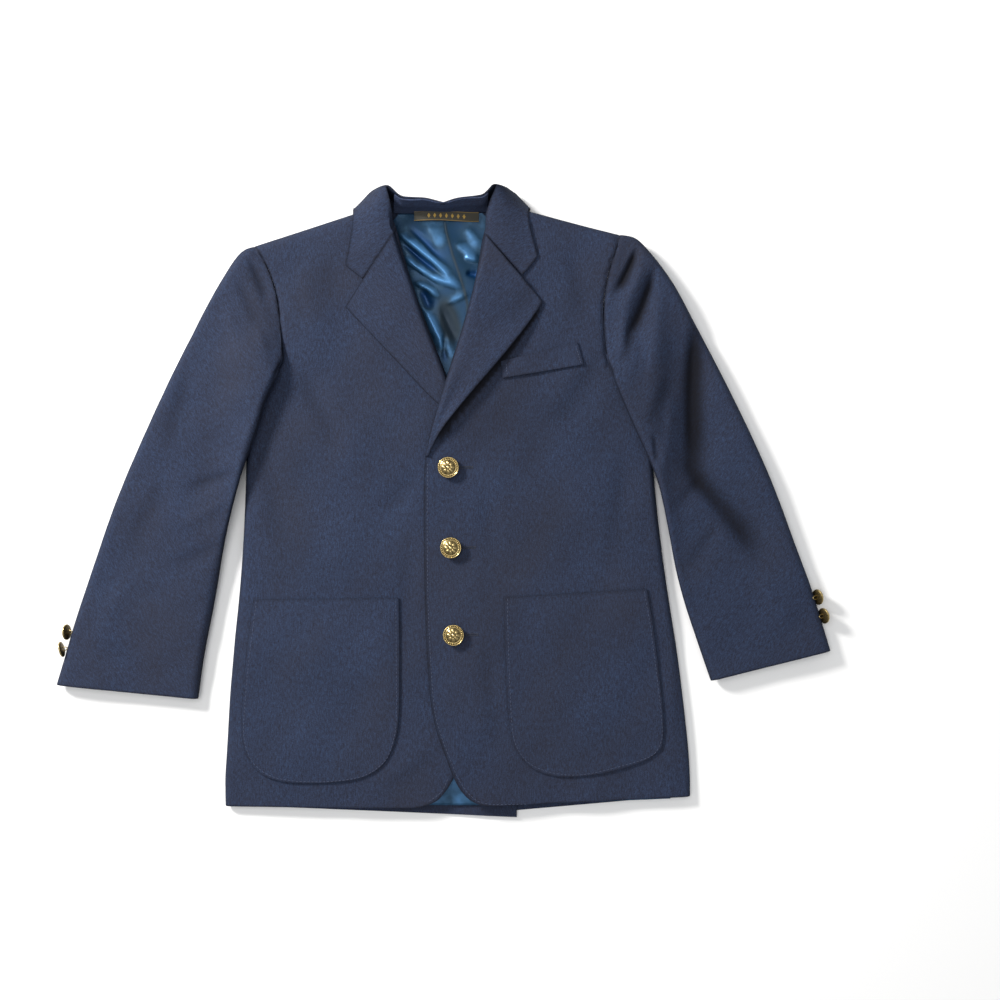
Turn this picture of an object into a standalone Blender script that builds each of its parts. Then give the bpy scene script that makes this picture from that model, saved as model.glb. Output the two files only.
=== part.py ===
"""A boy's three-button blazer laid flat on its back, in metres, +Z up and +Y towards the collar."""

import math
from collections import namedtuple

import bpy
import numpy as np

MM = 0.001
# Middle of the laid-out garment's box, which becomes the origin
CENTRE = (0.7, 0.05, 0.0)

# Walls and gaps, in millimetres
CLOTH = 1.5
LAPEL_WALL = 2.2
COLLAR_WALL = 1.8
LINING_WALL = 1.0
POCKET_WALL = 1.4
SEAM = 0.3
LAY_GAP = 0.6

# Rounded edges, in millimetres
SIDE_ROLL = 7.0
SHOULDER_ROLL = 9.0
SLEEVE_ROLL = 9.0
LAPEL_ROLL = 6.0
LAPEL_RISE = 5.0
# Where the points lie across a rounded edge, as shares of its roll
EDGE_TURNS = (0.0, 0.12, 0.35, 0.65, 1.0)
# Where the finer sections lie in the last stretch before the shoulder
SHOULDER_SHARES = (0.0, 0.45, 0.7, 0.88, 0.97, 1.0)
# Stands for a distance from an edge that isn't rounded
FAR = 99.0

# Heights of the fronts' outer surface along the body's middle, and how much lower its sides lie
HeightRow = namedtuple("HeightRow", "y height side_drop")
BODY_HEIGHTS = (
    HeightRow(-300, 12.0, 3.0),
    HeightRow(-200, 14.0, 4.0),
    HeightRow(-60, 15.0, 4.0),
    HeightRow(60, 16.0, 3.0),
    HeightRow(160, 18.0, 2.0),
    HeightRow(240, 20.0, 1.0),
    HeightRow(300, 20.0, 1.0),
)
HALF_BODY = 200.0

# The front that laps over lies this much higher, and comes down over this stretch
LAP_RISE = 2.3
LAP_END = 42.0
LAP_FADE = 50.0
LAP_TOP = (105.0, 170.0)
# Below the break point the lapping front also clears the lapel under it
BREAK_RISE = 5.8
BREAK_FROM_Y = (36.0, 84.0)
BREAK_TO_Y = (118.0, 165.0)
BREAK_TO_X = (24.0, 70.0)

# Each section runs across one half of the body, from its middle to its side, armhole or shoulder
BodyRow = namedtuple("BodyRow", "front_x front_y back_x back_y side_x side_y")
RIGHT_BODY = (
    BodyRow(-25.7, -290.5, 30, -299.0, -207.6, -289.3),
    BodyRow(-6.7, -284.7, 30, -290.0, -207.8, -283.0),
    BodyRow(2.8, -274.4, 30, -276.0, -207.9, -273.0),
    BodyRow(9.9, -263.3, 30, -262.0, -207.9, -260.0),
    BodyRow(21.0, -235.0, 30, -235.0, -206.2, -236.0),
    BodyRow(29.0, -188.5, 29, -188.5, -203.6, -188.5),
    BodyRow(31.2, -164.0, 28, -164.0, -201.6, -164.0),
    BodyRow(32.2, -148.0, 28, -148.0, -200.2, -148.0),
    BodyRow(33.4, -122.0, 26, -122.0, -197.9, -122.0),
    BodyRow(34.0, -72.0, 24, -72.0, -192.5, -72.0),
    BodyRow(34.0, -10.0, 20, -10.0, -188.7, -10.0),
    BodyRow(31.0, 42.0, 17, 45.0, -187.3, 45.0),
    BodyRow(15.5, 92.0, 14, 80.0, -184.5, 84.0),
    BodyRow(4.7, 119.4, 11, 115.0, -174.0, 104.0),
    BodyRow(-4.0, 142.0, 10, 130.0, -162.0, 119.0),
    BodyRow(-12.0, 163.0, 9, 150.0, -151.6, 134.0),
    BodyRow(-22.0, 190.0, 7, 180.0, -153.0, 160.0),
    BodyRow(-31.5, 218.0, 5, 215.0, -155.5, 190.0),
    BodyRow(-40.0, 247.0, 3, 250.0, -162.0, 215.6),
    BodyRow(-46.0, 268.0, 2, 277.0, -170.0, 232.5),
    BodyRow(-60.0, 283.0, -52, 280.5, -177.5, 244.5),
)
LEFT_BODY = (
    BodyRow(40.0, -288.5, 30, -298.0, 236.6, -280.0),
    BodyRow(24.0, -281.0, 30, -289.0, 236.6, -274.0),
    BodyRow(12.0, -264.0, 30, -275.0, 236.4, -262.0),
    BodyRow(4.5, -243.8, 30, -245.0, 235.5, -243.0),
    BodyRow(-5.0, -218.4, 30, -218.0, 233.2, -218.0),
    BodyRow(-11.3, -188.4, 29, -188.5, 229.9, -188.5),
    BodyRow(-13.3, -164.0, 28, -164.0, 226.9, -164.0),
    BodyRow(-14.4, -148.0, 28, -148.0, 224.8, -148.0),
    BodyRow(-15.6, -122.0, 26, -122.0, 220.9, -122.0),
    BodyRow(-16.8, -72.0, 24, -72.0, 212.8, -72.0),
    BodyRow(-17.3, -10.0, 20, -10.0, 204.8, -10.0),
    BodyRow(-16.4, 45.0, 17, 45.0, 200.2, 45.0),
    BodyRow(-4.0, 90.0, 14, 80.0, 196.5, 84.0),
    BodyRow(4.8, 119.1, 11, 115.0, 182.0, 101.0),
    BodyRow(12.0, 143.0, 10, 130.0, 169.0, 115.0),
    BodyRow(18.3, 163.0, 9, 150.0, 157.8, 131.0),
    BodyRow(26.0, 190.0, 7, 180.0, 154.0, 160.5),
    BodyRow(33.0, 218.0, 5, 215.0, 152.3, 186.0),
    BodyRow(37.5, 247.0, 3, 250.0, 156.4, 213.0),
    BodyRow(45.0, 271.0, 2, 277.0, 163.5, 239.0),
    BodyRow(58.0, 284.0, 50, 280.5, 168.6, 255.0),
)
ARMPIT_ROW = 15
SIDE_ROWS = 13
BODY_COLUMNS = 11
BACK_COLUMNS = 8

# The centre vent: the right back's underlap lies on the left back up to VENT_TOP
VENT_EDGE = 71.0
VENT_TOP = -148.0
VENT_SLANT = 14.0
VENT_FADE = 24.0
VENT_RAMP = (1.5, 9.0)
VENT_LIFT = CLOTH + SEAM + 0.2
# Where the cloth above the underlap starts and stops being lifted by it
LIFT_FROM_X = (-25.0, 12.0)
LIFT_TO_X = (VENT_EDGE + 16.0, VENT_EDGE + 46.0)
LIFT_TO_Y = (VENT_TOP + 50.0, VENT_TOP + 100.0)
# The underlap runs this far past the centre seam
UNDERLAP = VENT_EDGE - 30.0
# The back's neck edge is open up to here, and its shoulder is rounded from here on
NECK_END = (46.0, 60.0)
# The collar's fall lies under the top of the back and lifts it
FALL_LIFT = 3.0
FALL_FROM_Y = 198.0
FALL_TO_Y = 232.0
FALL_HALF_WIDTH = 100.0
FALL_FADE = 45.0

# Sections across a sleeve from its inner fold to its outer fold, from the armhole to the cuff
SleeveRow = namedtuple("SleeveRow", "inner_x inner_y outer_x outer_y bow crown")
RIGHT_SLEEVE = (
    SleeveRow(-151.4, 131.0, -177.8, 244.5, 8.5, 19.0),
    SleeveRow(-154.0, 122.0, -189.4, 241.0, 7.0, 21.0),
    SleeveRow(-159.0, 111.0, -200.0, 228.5, 4.5, 21.0),
    SleeveRow(-166.0, 96.0, -212.0, 209.0, 2.0, 20.0),
    SleeveRow(-172.0, 76.0, -225.0, 186.0, 0, 19.0),
    SleeveRow(-178.5, 57.0, -240.0, 157.0, 0, 18.0),
    SleeveRow(-187.0, 34.0, -256.0, 126.0, 0, 17.0),
    SleeveRow(-195.0, 8.0, -272.0, 92.0, 0, 16.5),
    SleeveRow(-203.0, -20.0, -290.0, 53.0, 0, 16.0),
    SleeveRow(-209.5, -50.0, -308.0, 10.0, 0, 16.0),
    SleeveRow(-215.0, -82.0, -323.0, -31.0, 0, 15.5),
    SleeveRow(-221.0, -113.0, -338.0, -75.0, 0, 15.0),
    SleeveRow(-226.5, -140.6, -351.0, -114.0, 0, 14.5),
    SleeveRow(-230.0, -163.0, -361.0, -148.0, 0, 14.0),
    SleeveRow(-233.2, -186.6, -368.6, -173.2, 0, 13.5),
)
LEFT_SLEEVE = (
    SleeveRow(157.5, 132.5, 169.0, 255.0, -9.0, 19.0),
    SleeveRow(160.5, 121.0, 183.0, 252.5, -7.5, 21.0),
    SleeveRow(164.5, 109.0, 194.0, 242.5, -5.0, 21.0),
    SleeveRow(171.0, 94.0, 207.0, 227.0, -2.5, 20.0),
    SleeveRow(178.0, 78.0, 221.0, 207.0, 0, 19.0),
    SleeveRow(186.5, 60.0, 235.0, 181.0, 0, 18.0),
    SleeveRow(196.0, 40.0, 251.0, 151.0, 0, 17.0),
    SleeveRow(205.0, 16.0, 267.0, 120.0, 0, 16.5),
    SleeveRow(211.0, -10.0, 286.0, 82.0, 0, 16.0),
    SleeveRow(216.5, -38.0, 304.0, 43.0, 0, 16.0),
    SleeveRow(222.5, -68.0, 321.0, 2.0, 0, 15.5),
    SleeveRow(231.0, -98.0, 337.0, -42.0, 0, 15.0),
    SleeveRow(240.0, -124.0, 351.0, -79.0, 0, 14.5),
    SleeveRow(248.0, -147.0, 361.0, -111.0, 0, 14.0),
    SleeveRow(255.8, -169.3, 370.0, -140.6, 0, 13.5),
)
SLEEVE_COLUMNS = 13
SLEEVE_TURNS = (0.0, 0.1, 0.3, 0.6, 1.0)
UNDER_COLUMNS = (0, 2, 4, 5, 6, 8, 10, 12)
ARMHOLE_GAP = 0.6
ARMHOLE_SPREAD = 0.3
FLATTEST_SLEEVE = 8.0
# Share of a sleeve's height at which its top and under panels meet
RIGHT_MEETING = 0.5
LEFT_MEETING = 0.58
# A sleeve takes up the armhole's height over this many sections
JOINED_SECTIONS = 5.0
# A sleeve that is held up lies flatter by this share of its lift
SETTLING = 0.35
# Soft folds fade out this far from a sleeve's two folds
FOLD_CLEAR = 20.0
# A sleeve's sections keep at least this far apart, so that they don't fold over at the armhole
SECTION_GAP = 1.7
GAP_FROM = 0.12
LIFT_TOP_Y = 132.0
LIFT_FADE_Y = 36.0
LIFT_FADE_X = 26.0
SLEEVE_CLEAR = 2.2
# A wall is square to the cloth up to this far from a rolled edge
EDGE_BAND = 7.0
# Walls on slopes steeper than this, as the upward part of the normal, get no thicker
STEEPEST = 0.62

# Sections across a lapel, from the roll line to its free edge, from the break point up to the gorge
LapelRow = namedtuple("LapelRow", "roll_x roll_y edge_x edge_y")
RIGHT_LAPEL = (
    LapelRow(15.5, 90.0, 5.0, 86.0),
    LapelRow(9.5, 106.0, -12.0, 101.0),
    LapelRow(4.7, 119.4, -27.0, 117.0),
    LapelRow(-6.0, 147.0, -50.0, 141.5),
    LapelRow(-17.2, 175.2, -68.0, 160.5),
    LapelRow(-27.0, 205.0, -80.0, 173.0),
    LapelRow(-37.0, 232.0, -87.5, 181.0),
    LapelRow(-44.4, 255.4, -91.5, 185.3),
)
LEFT_LAPEL = (
    LapelRow(-16.2, 44.5, -12.8, 44.3),
    LapelRow(-14.0, 53.5, -9.2, 53.0),
    LapelRow(-11.0, 64.5, -3.6, 64.0),
    LapelRow(-7.5, 77.0, 5.0, 76.0),
    LapelRow(-0.5, 102.0, 24.0, 99.5),
    LapelRow(4.8, 119.1, 39.0, 117.0),
    LapelRow(14.6, 150.8, 60.0, 142.0),
    LapelRow(22.0, 176.0, 74.0, 160.0),
    LapelRow(29.0, 201.0, 84.0, 173.5),
    LapelRow(35.0, 228.0, 91.0, 184.0),
    LapelRow(40.5, 253.5, 94.7, 190.4),
)
LAPEL_COLUMNS = 8
LAPEL_TURNS = (0.0, 0.1, 0.32, 0.62, 1.0)
# A short section has a roll of at most this share of its length
SHORT_ROLL = 0.6
# Widths over which a lapel gains its rise, and its full wall
RISE_WIDTHS = (4.0, 40.0)
WALL_WIDTHS = (4.0, 18.0)
BREAK_THINNING = 0.54
# A rolled edge keeps this much wall
THIN_EDGE = 0.1

# Sections across the collar's fall, from its fold to its outer edge, from the gorge to the centre back.
# wrap is 0 where the leaf lies on the front, 1 where it passes behind the neck and under the back
FallRow = namedtuple("FallRow", "fold_x fold_y fold_z edge_x edge_y wrap")
RIGHT_FALL = (
    FallRow(-43.9, 257.8, 26.0, -75.7, 212.1, 0),
    FallRow(-45.5, 261.0, 26.5, -84.0, 218.2, 0),
    FallRow(-46.0, 266.0, 27.0, -91.3, 224.2, 0),
    FallRow(-46.3, 270.4, 27.2, -89.7, 232.0, 0),
    FallRow(-46.6, 274.8, 27.5, -88.0, 239.7, 0),
    FallRow(-47.8, 280.5, 28.0, -86.3, 251.0, 0),
    FallRow(-49.0, 286.0, 28.5, -84.6, 262.0, 0),
    FallRow(-50.4, 291.0, 29.0, -84.2, 272.0, 0.06),
    FallRow(-52.0, 296.6, 29.5, -84.5, 280.5, 0.45),
    FallRow(-48.8, 297.2, 30.0, -86.0, 279.5, 0.8),
    FallRow(-44.0, 293.5, 30.0, -82.0, 265.5, 1),
    FallRow(-38.0, 290.0, 30.3, -68.0, 251.0, 1),
    FallRow(-31.0, 288.8, 30.6, -52.0, 245.0, 1),
    FallRow(-23.0, 288.3, 31.0, -34.0, 242.5, 1),
    FallRow(-14.8, 288.2, 31.0, -20.0, 241.0, 1),
    FallRow(-7.0, 286.0, 31.0, -9.5, 240.3, 1),
    FallRow(1.0, 283.5, 31.0, 1.0, 240.0, 1),
)
LEFT_FALL = (
    FallRow(40.6, 255.2, 26.0, 76.3, 216.0, 0),
    FallRow(41.0, 259.0, 26.5, 83.5, 224.0, 0),
    FallRow(41.0, 264.0, 27.0, 90.1, 232.9, 0),
    FallRow(41.2, 268.5, 27.2, 88.5, 239.5, 0),
    FallRow(41.5, 273.0, 27.5, 86.5, 246.0, 0),
    FallRow(43.5, 280.0, 28.0, 84.2, 255.0, 0),
    FallRow(46.0, 287.0, 28.5, 82.0, 264.0, 0),
    FallRow(49.4, 292.5, 29.0, 81.5, 273.0, 0.06),
    FallRow(51.6, 298.4, 29.5, 82.0, 281.0, 0.45),
    FallRow(47.0, 298.2, 30.0, 84.0, 281.5, 0.8),
    FallRow(43.5, 295.0, 30.0, 80.0, 267.0, 1),
    FallRow(38.0, 291.6, 30.3, 68.0, 252.0, 1),
    FallRow(31.0, 290.0, 30.6, 52.0, 245.0, 1),
    FallRow(23.0, 289.0, 31.0, 34.0, 242.5, 1),
    FallRow(15.1, 288.2, 31.0, 20.0, 241.0, 1),
    FallRow(8.0, 286.0, 31.0, 10.5, 240.3, 1),
    FallRow(1.6, 283.5, 31.0, 1.6, 240.0, 1),
)
CORNER_THINNING = 1.0
FALL_SHARES = (0.0, 0.07, 0.18, 0.34, 0.47, 0.56, 0.66, 0.78, 0.9, 1.0)
# The fall's section behind the neck: share of its width, way out behind the fold and share of the fold's height
Behind = namedtuple("Behind", "share out height")
BEHIND = (
    Behind(0.0, 0.6, 1.0),
    Behind(0.06, 2.0, 0.97),
    Behind(0.16, 3.2, 0.82),
    Behind(0.34, 4.0, 0.42),
    Behind(0.47, 3.6, 0.15),
    Behind(0.56, 2.2, 0.04),
    Behind(0.64, -1.0, 0.0),
    Behind(1.0, 0.0, 0.0),
)
TURN_SHARE = 0.64
# Sections over which the fold comes up from the front to the stand's height
STANDING_SECTIONS = (1.0, 6.0)

# The stand's sections round the back neck, each from the neck seam up to the fold
StandRow = namedtuple("StandRow", "base_x base_y base_z fold_x fold_y fold_z")
STAND = (
    StandRow(-47.0, 280.0, 7.0, -44.5, 288.0, 28.0),
    StandRow(-41.0, 280.0, 6.0, -38.5, 285.9, 28.5),
    StandRow(-26.0, 280.0, 5.2, -26.0, 284.8, 29.0),
    StandRow(-14.0, 280.0, 5.2, -14.5, 285.5, 29.0),
    StandRow(1.3, 280.2, 5.2, 1.3, 281.4, 29.0),
    StandRow(14.0, 280.4, 5.2, 14.8, 285.5, 29.0),
    StandRow(26.0, 280.6, 5.2, 26.5, 287.0, 29.0),
    StandRow(37.0, 280.8, 6.0, 38.5, 287.3, 28.5),
    StandRow(42.5, 281.2, 7.0, 44.0, 290.5, 28.0),
)
STAND_WALL = 0.8 * COLLAR_WALL
STAND_COLUMNS = 4

# Soft folds in the solids: a trough (negative) or ridge along a line, on the piece named
Fold = namedtuple("Fold", "piece x0 y0 x1 y1 width height")
FOLDS = (
    Fold("sleeve_left", 180, 246, 164, 205, 8, -3.0),
    Fold("sleeve_left", 199, 222, 176, 140, 9, -2.5),
    Fold("sleeve_left", 232, 150, 262, 20, 16, -2.5),
    Fold("sleeve_left", 262, 20, 320, -60, 16, -2.0),
    Fold("sleeve_right", -176, 225, -168, 190, 8, -2.0),
    Fold("sleeve_right", -205, 40, -262, 24, 12, -1.5),
    Fold("lining", -42, 262, 12, 208, 10, 4.5),
    Fold("lining", -36, 240, 18, 176, 8, -1.2),
    Fold("lining", -24, 226, 20, 158, 8, 3.6),
    Fold("lining", -4, 262, 30, 200, 7, 3.4),
    Fold("lining", -14, 190, 28, 190, 7, 2.6),
)

# Patch pockets: corners along each side from the mouth to the foot, on the fronts
PocketRow = namedtuple("PocketRow", "low_x low_y high_x high_y")
RIGHT_POCKET = (
    PocketRow(-179.7, -91.5, -41.3, -89.8),
    PocketRow(-184.0, -120.0, -40.5, -120.0),
    PocketRow(-188.3, -157.0, -40.5, -156.0),
    PocketRow(-192.3, -209.2, -40.5, -204.2),
    PocketRow(-190.0, -232.9, -44.4, -227.9),
    PocketRow(-180.4, -252.6, -54.0, -247.1),
    PocketRow(-168.0, -260.8, -65.0, -256.0),
    PocketRow(-152.0, -265.0, -80.0, -262.2),
)
LEFT_POCKET = (
    PocketRow(58.5, -89.1, 194.2, -81.5),
    PocketRow(59.0, -122.0, 200.5, -116.0),
    PocketRow(60.6, -173.3, 207.2, -170.0),
    PocketRow(63.2, -215.8, 211.7, -215.9),
    PocketRow(69.1, -236.2, 208.6, -233.0),
    PocketRow(82.7, -251.5, 198.4, -243.2),
    PocketRow(94.0, -256.5, 185.0, -248.5),
    PocketRow(108.3, -259.8, 167.8, -253.4),
)
POCKET_COLUMNS = 10
WELT_COLUMNS = 3
# The foot of a pocket bows down this far between its rounded corners, over its last sections
FOOT_BOW = 9.6
FOOT_SECTIONS = 4.0
WELT = (PocketRow(55.8, 134.0, 57.2, 117.9), PocketRow(128.0, 152.5, 134.1, 131.2))

# Lining of the back: its sections from one side to the other, from the hem up
LiningRow = namedtuple("LiningRow", "right_x right_y left_x left_y hem_sag")
LINING = (
    LiningRow(-186, -285.0, 218, -283.0, 5.0),
    LiningRow(-186, -255.0, 216, -250.0, 0),
    LiningRow(-182, -170.0, 208, -165.0, 0),
    LiningRow(-176, -90.0, 196, -88.0, 0),
    LiningRow(-175, -10.0, 190, -8.0, 0),
    LiningRow(-172, 60.0, 184, 60.0, 0),
    LiningRow(-146, 118.0, 148, 118.0, 0),
    LiningRow(-134, 150.0, 136, 150.0, 0),
    LiningRow(-120, 176.0, 122, 176.0, 0),
    LiningRow(-106, 198.0, 108, 198.0, 0),
    LiningRow(-92, 216.0, 94, 216.0, 0),
    LiningRow(-78, 232.0, 80, 232.0, 0),
    LiningRow(-66, 246.0, 68, 246.0, 0),
    LiningRow(-56, 259.0, 56, 259.0, 0),
    LiningRow(-42, 276.5, 38, 277.0, 0),
)
LINING_COLUMNS = 15
LINING_CLEAR = 0.5
# The lining is sewn down at the collar and lies loose below it
SEWN_AT_Y = 275.0
LOOSE_FROM = (-9.0, 12.0)
# The lining rises to the fall's height this far before it
LINING_LEAD = 26.0
LABEL_LOW = (-27.0, 266.5)
LABEL_HIGH = (29.5, 275.5)
LABEL_WALL = 1.0
LABEL_CLEAR = 2.4
LABEL_COLUMNS = 7

# Buttons with shanks, as millimetre profiles of radius and height
ButtonPlace = namedtuple("ButtonPlace", "name x y")
FRONT_BUTTONS = (
    ButtonPlace("front_button_top", 6.0, 33.7),
    ButtonPlace("front_button_middle", 8.3, -42.2),
    ButtonPlace("front_button_bottom", 10.8, -124.7),
)
FRONT_BUTTON_RADIUS = 10.0
CuffPlace = namedtuple("CuffPlace", "name x y side height")
CUFF_BUTTONS = (
    CuffPlace("cuff_button_right_upper", -355.2, -122.5, -1, 8.8),
    CuffPlace("cuff_button_right_lower", -360.2, -139.0, -1, 8.6),
    CuffPlace("cuff_button_left_upper", 358.0, -91.5, 1, 8.8),
    CuffPlace("cuff_button_left_lower", 363.2, -109.0, 1, 8.6),
)
CUFF_BUTTON_RADIUS = 7.5
BUTTON_SIDES = 14
SHANK_RADIUS = 1.6
SHANK_HEIGHT = 2.6
THREAD_GAP = 0.5
# A cuff button faces outwards, a little down the sleeve and up
CUFF_AXIS = (0.97, -0.12, 0.16)

Finish = namedtuple("Finish", "colour roughness metallic")
NAVY = Finish((0.040, 0.055, 0.110), 0.85, 0.0)
SATIN = Finish((0.010, 0.100, 0.300), 0.35, 0.0)
BRASS = Finish((0.600, 0.440, 0.170), 0.32, 1.0)
LABEL = Finish((0.020, 0.020, 0.018), 0.70, 0.0)


def smooth(low, high, value):
    """0 below low, 1 above high, and an even ramp between them."""
    t = np.clip((value - low) / (high - low), 0.0, 1.0)
    return t * t * (3.0 - 2.0 * t)


def rounded(distance, radius):
    """Height share of a rounded edge at this distance inside it."""
    t = np.clip(distance / radius, 0.0, 1.0)
    return np.sqrt(np.maximum(0.0, 1.0 - (1.0 - t) ** 2))


def folds(piece, x, y):
    """Sum of the soft folds of one piece at plan points."""
    total = np.zeros(np.shape(x))
    for fold in FOLDS:
        if fold.piece != piece:
            continue
        along = np.array([fold.x1 - fold.x0, fold.y1 - fold.y0], float)
        length = np.hypot(*along)
        along /= length
        run = ((x - fold.x0) * along[0] + (y - fold.y0) * along[1]) / length
        off = (x - fold.x0) * along[1] - (y - fold.y0) * along[0]
        fade = smooth(-0.15, 0.2, run) * (1.0 - smooth(0.8, 1.15, run))
        total += fold.height * fade * np.exp(-((off / fold.width) ** 2))
    return total


def body_height(x, y):
    """Outer surface of the fronts, before either laps over the other."""
    ys = [row.y for row in BODY_HEIGHTS]
    middle = np.interp(y, ys, [row.height for row in BODY_HEIGHTS])
    drop = np.interp(y, ys, [row.side_drop for row in BODY_HEIGHTS])
    return middle - drop * np.clip(np.abs(x) / HALF_BODY, 0.0, 1.1) ** 2


def left_front_height(x, y):
    """The left front laps over the right one and over the end of its lapel."""
    lap = LAP_RISE * (1.0 - smooth(LAP_END, LAP_END + LAP_FADE, x))
    lap *= 1.0 - smooth(*LAP_TOP, y)
    over = BREAK_RISE * smooth(*BREAK_FROM_Y, y) * (1.0 - smooth(*BREAK_TO_Y, y))
    return body_height(x, y) + lap + over * (1.0 - smooth(*BREAK_TO_X, x))


def vent_mask(x, y):
    """1 over the vent's underlap and a little round it, 0 away from it."""
    across = smooth(*LIFT_FROM_X, x) * (1.0 - smooth(*LIFT_TO_X, x))
    return across * (1.0 - smooth(*LIFT_TO_Y, y))


def fall_mask(x, y):
    """1 where the collar's fall lies under the back."""
    across = 1.0 - smooth(FALL_HALF_WIDTH, FALL_HALF_WIDTH + FALL_FADE, np.abs(x))
    return across * smooth(FALL_FROM_Y, FALL_TO_Y, y)


def centripetal(values, steps):
    """Even Catmull-Rom samples through the values of one table column."""
    values = np.asarray(values, float)
    padded = np.concatenate([[2 * values[0] - values[1]], values, [2 * values[-1] - values[-2]]])
    samples = []
    for i in range(len(values) - 1):
        a, b, c, d = padded[i : i + 4]
        for step in range(steps):
            t = step / steps
            cubic = (2 * b + (c - a) * t + (2 * a - 5 * b + 4 * c - d) * t**2
                     + (3 * b - a - 3 * c + d) * t**3)
            samples.append(cubic / 2)
    samples.append(values[-1])
    return np.array(samples)


def add_shell(name, outer, inner, finish):
    """Closed wall between two grids of points with the same rows and columns."""
    rows, columns = outer.shape[:2]
    points = (np.concatenate([outer.reshape(-1, 3), inner.reshape(-1, 3)]) - CENTRE) * MM
    count = rows * columns
    faces = []
    for i in range(rows - 1):
        for j in range(columns - 1):
            a = i * columns + j
            b = a + 1
            c = a + columns + 1
            d = a + columns
            faces.append((a, b, c, d))
            faces.append((a + count, d + count, c + count, b + count))
    rim = [j for j in range(columns - 1)]
    rim += [i * columns + columns - 1 for i in range(rows - 1)]
    rim += [(rows - 1) * columns + j for j in range(columns - 1, 0, -1)]
    rim += [i * columns for i in range(rows - 1, 0, -1)]
    for k, a in enumerate(rim):
        b = rim[(k + 1) % len(rim)]
        faces.append((b, a, a + count, b + count))
    return add_mesh(name, points, faces, finish)


def signed_volume(points, faces):
    """Six times the volume inside the faces, negative when they face inwards."""
    total = 0.0
    for face in faces:
        for k in range(1, len(face) - 1):
            total += np.dot(points[face[0]], np.cross(points[face[k]], points[face[k + 1]]))
    return total


def add_mesh(name, points, faces, finish):
    """Object of one closed mesh with its own material, faces turned outwards."""
    if signed_volume(points, faces) < 0:
        faces = [tuple(reversed(face)) for face in faces]
    mesh = bpy.data.meshes.new(name)
    mesh.from_pydata([tuple(point) for point in points], [], faces)
    mesh.validate()
    mesh.shade_smooth()
    mesh.set_sharp_from_angle(angle=math.radians(50))
    material = bpy.data.materials.new(name)
    material.use_nodes = True
    shader = material.node_tree.nodes["Principled BSDF"]
    shader.inputs["Base Color"].default_value = (*finish.colour, 1.0)
    shader.inputs["Roughness"].default_value = finish.roughness
    shader.inputs["Metallic"].default_value = finish.metallic
    mesh.materials.append(material)
    obj = bpy.data.objects.new(name, mesh)
    bpy.context.scene.collection.objects.link(obj)
    return obj


def normals_of(grid, up):
    """Unit normals of a grid of points, on the side where the z part has the sign of up."""
    across = np.gradient(grid, axis=1)
    along = np.gradient(grid, axis=0)
    normals = np.cross(across, along)
    normals /= np.maximum(np.linalg.norm(normals, axis=2, keepdims=True), 1e-9)
    turn = np.sign(normals[..., 2:3].sum()) * up
    return normals * turn


def inside_of(outer, normals, to_edge, wall):
    """Inner surface of a wall: straight below or above the cloth, and square to it near a rolled edge."""
    square = 1.0 - smooth(EDGE_BAND, 2.0 * EDGE_BAND, to_edge)[..., None]
    upright = np.zeros(normals.shape)
    slope = normals[..., 2]
    upright[..., 2] = np.sign(slope) / np.clip(np.abs(slope), STEEPEST, 1.0)
    return outer - wall * (square * normals + (1.0 - square) * upright)


def level_normals(normals, rows=(), columns=()):
    """Makes the normals along the named rows and columns lie flat, so that two walls meet edge to edge."""
    for row in rows:
        normals[row, :, 2] = 0.0
    for column in columns:
        normals[:, column, 2] = 0.0
    length = np.linalg.norm(normals, axis=2, keepdims=True)
    return normals / np.maximum(length, 1e-9)


def spread(columns, length, roll, lead=()):
    """Distances from the inner edge, closer together in the rounded outer edge, after any leading ones."""
    edge = length - roll * np.array(EDGE_TURNS)
    start = lead[-1] if lead else 0.0
    even = np.linspace(start, length - roll, columns - len(EDGE_TURNS) + 1)
    return np.concatenate([lead[:-1], even, edge[::-1][1:]])


def body_sections(table, inner, columns, steps, lead=None):
    """Plan grid of one half of a front or back, with each point's distance from the side and shoulder.
    lead gives each section's leading distances from its inner end."""
    side_x = centripetal([row.side_x for row in table], steps)
    side_y = centripetal([row.side_y for row in table], steps)
    inner_x = centripetal([getattr(row, inner + "_x") for row in table], steps)
    inner_y = centripetal([getattr(row, inner + "_y") for row in table], steps)
    # The last stretch is cut finer for the rounded shoulder
    ends = np.array([side_x, side_y, inner_x, inner_y])
    last = ends[:, -1 - steps]
    top = ends[:, -1]
    finer = last[:, None] + (top - last)[:, None] * np.array(SHOULDER_SHARES)
    ends = np.concatenate([ends[:, : -1 - steps], finer], axis=1)
    columns_in_all = columns + (len(VENT_RAMP) if lead else 0)
    grid = np.zeros((ends.shape[1], columns_in_all, 2))
    to_side = np.zeros(grid.shape[:2])
    for i in range(ends.shape[1]):
        outer = ends[0:2, i]
        start = ends[2:4, i]
        length = np.hypot(*(outer - start))
        run = spread(columns, length, SIDE_ROLL, lead(ends[3, i]) if lead else ())
        grid[i] = start + (outer - start) * (run / length)[:, None]
        to_side[i] = length - run
    shoulder = grid[-1]
    direction = shoulder[-1] - shoulder[0]
    direction = direction / np.hypot(*direction)
    away = grid - shoulder[0]
    to_shoulder = np.abs(away[..., 0] * direction[1] - away[..., 1] * direction[0])
    return grid, to_side, to_shoulder


def side_share(rows, steps):
    """1 for the sections that end at the side, fading to 0 for those that end at the armhole."""
    row = np.arange(rows) / steps
    return 1.0 - smooth(ARMPIT_ROW - 3.0, ARMPIT_ROW - 1.0, row)


def surface(grid, z):
    return np.concatenate([grid, z[..., None]], axis=2)


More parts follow.
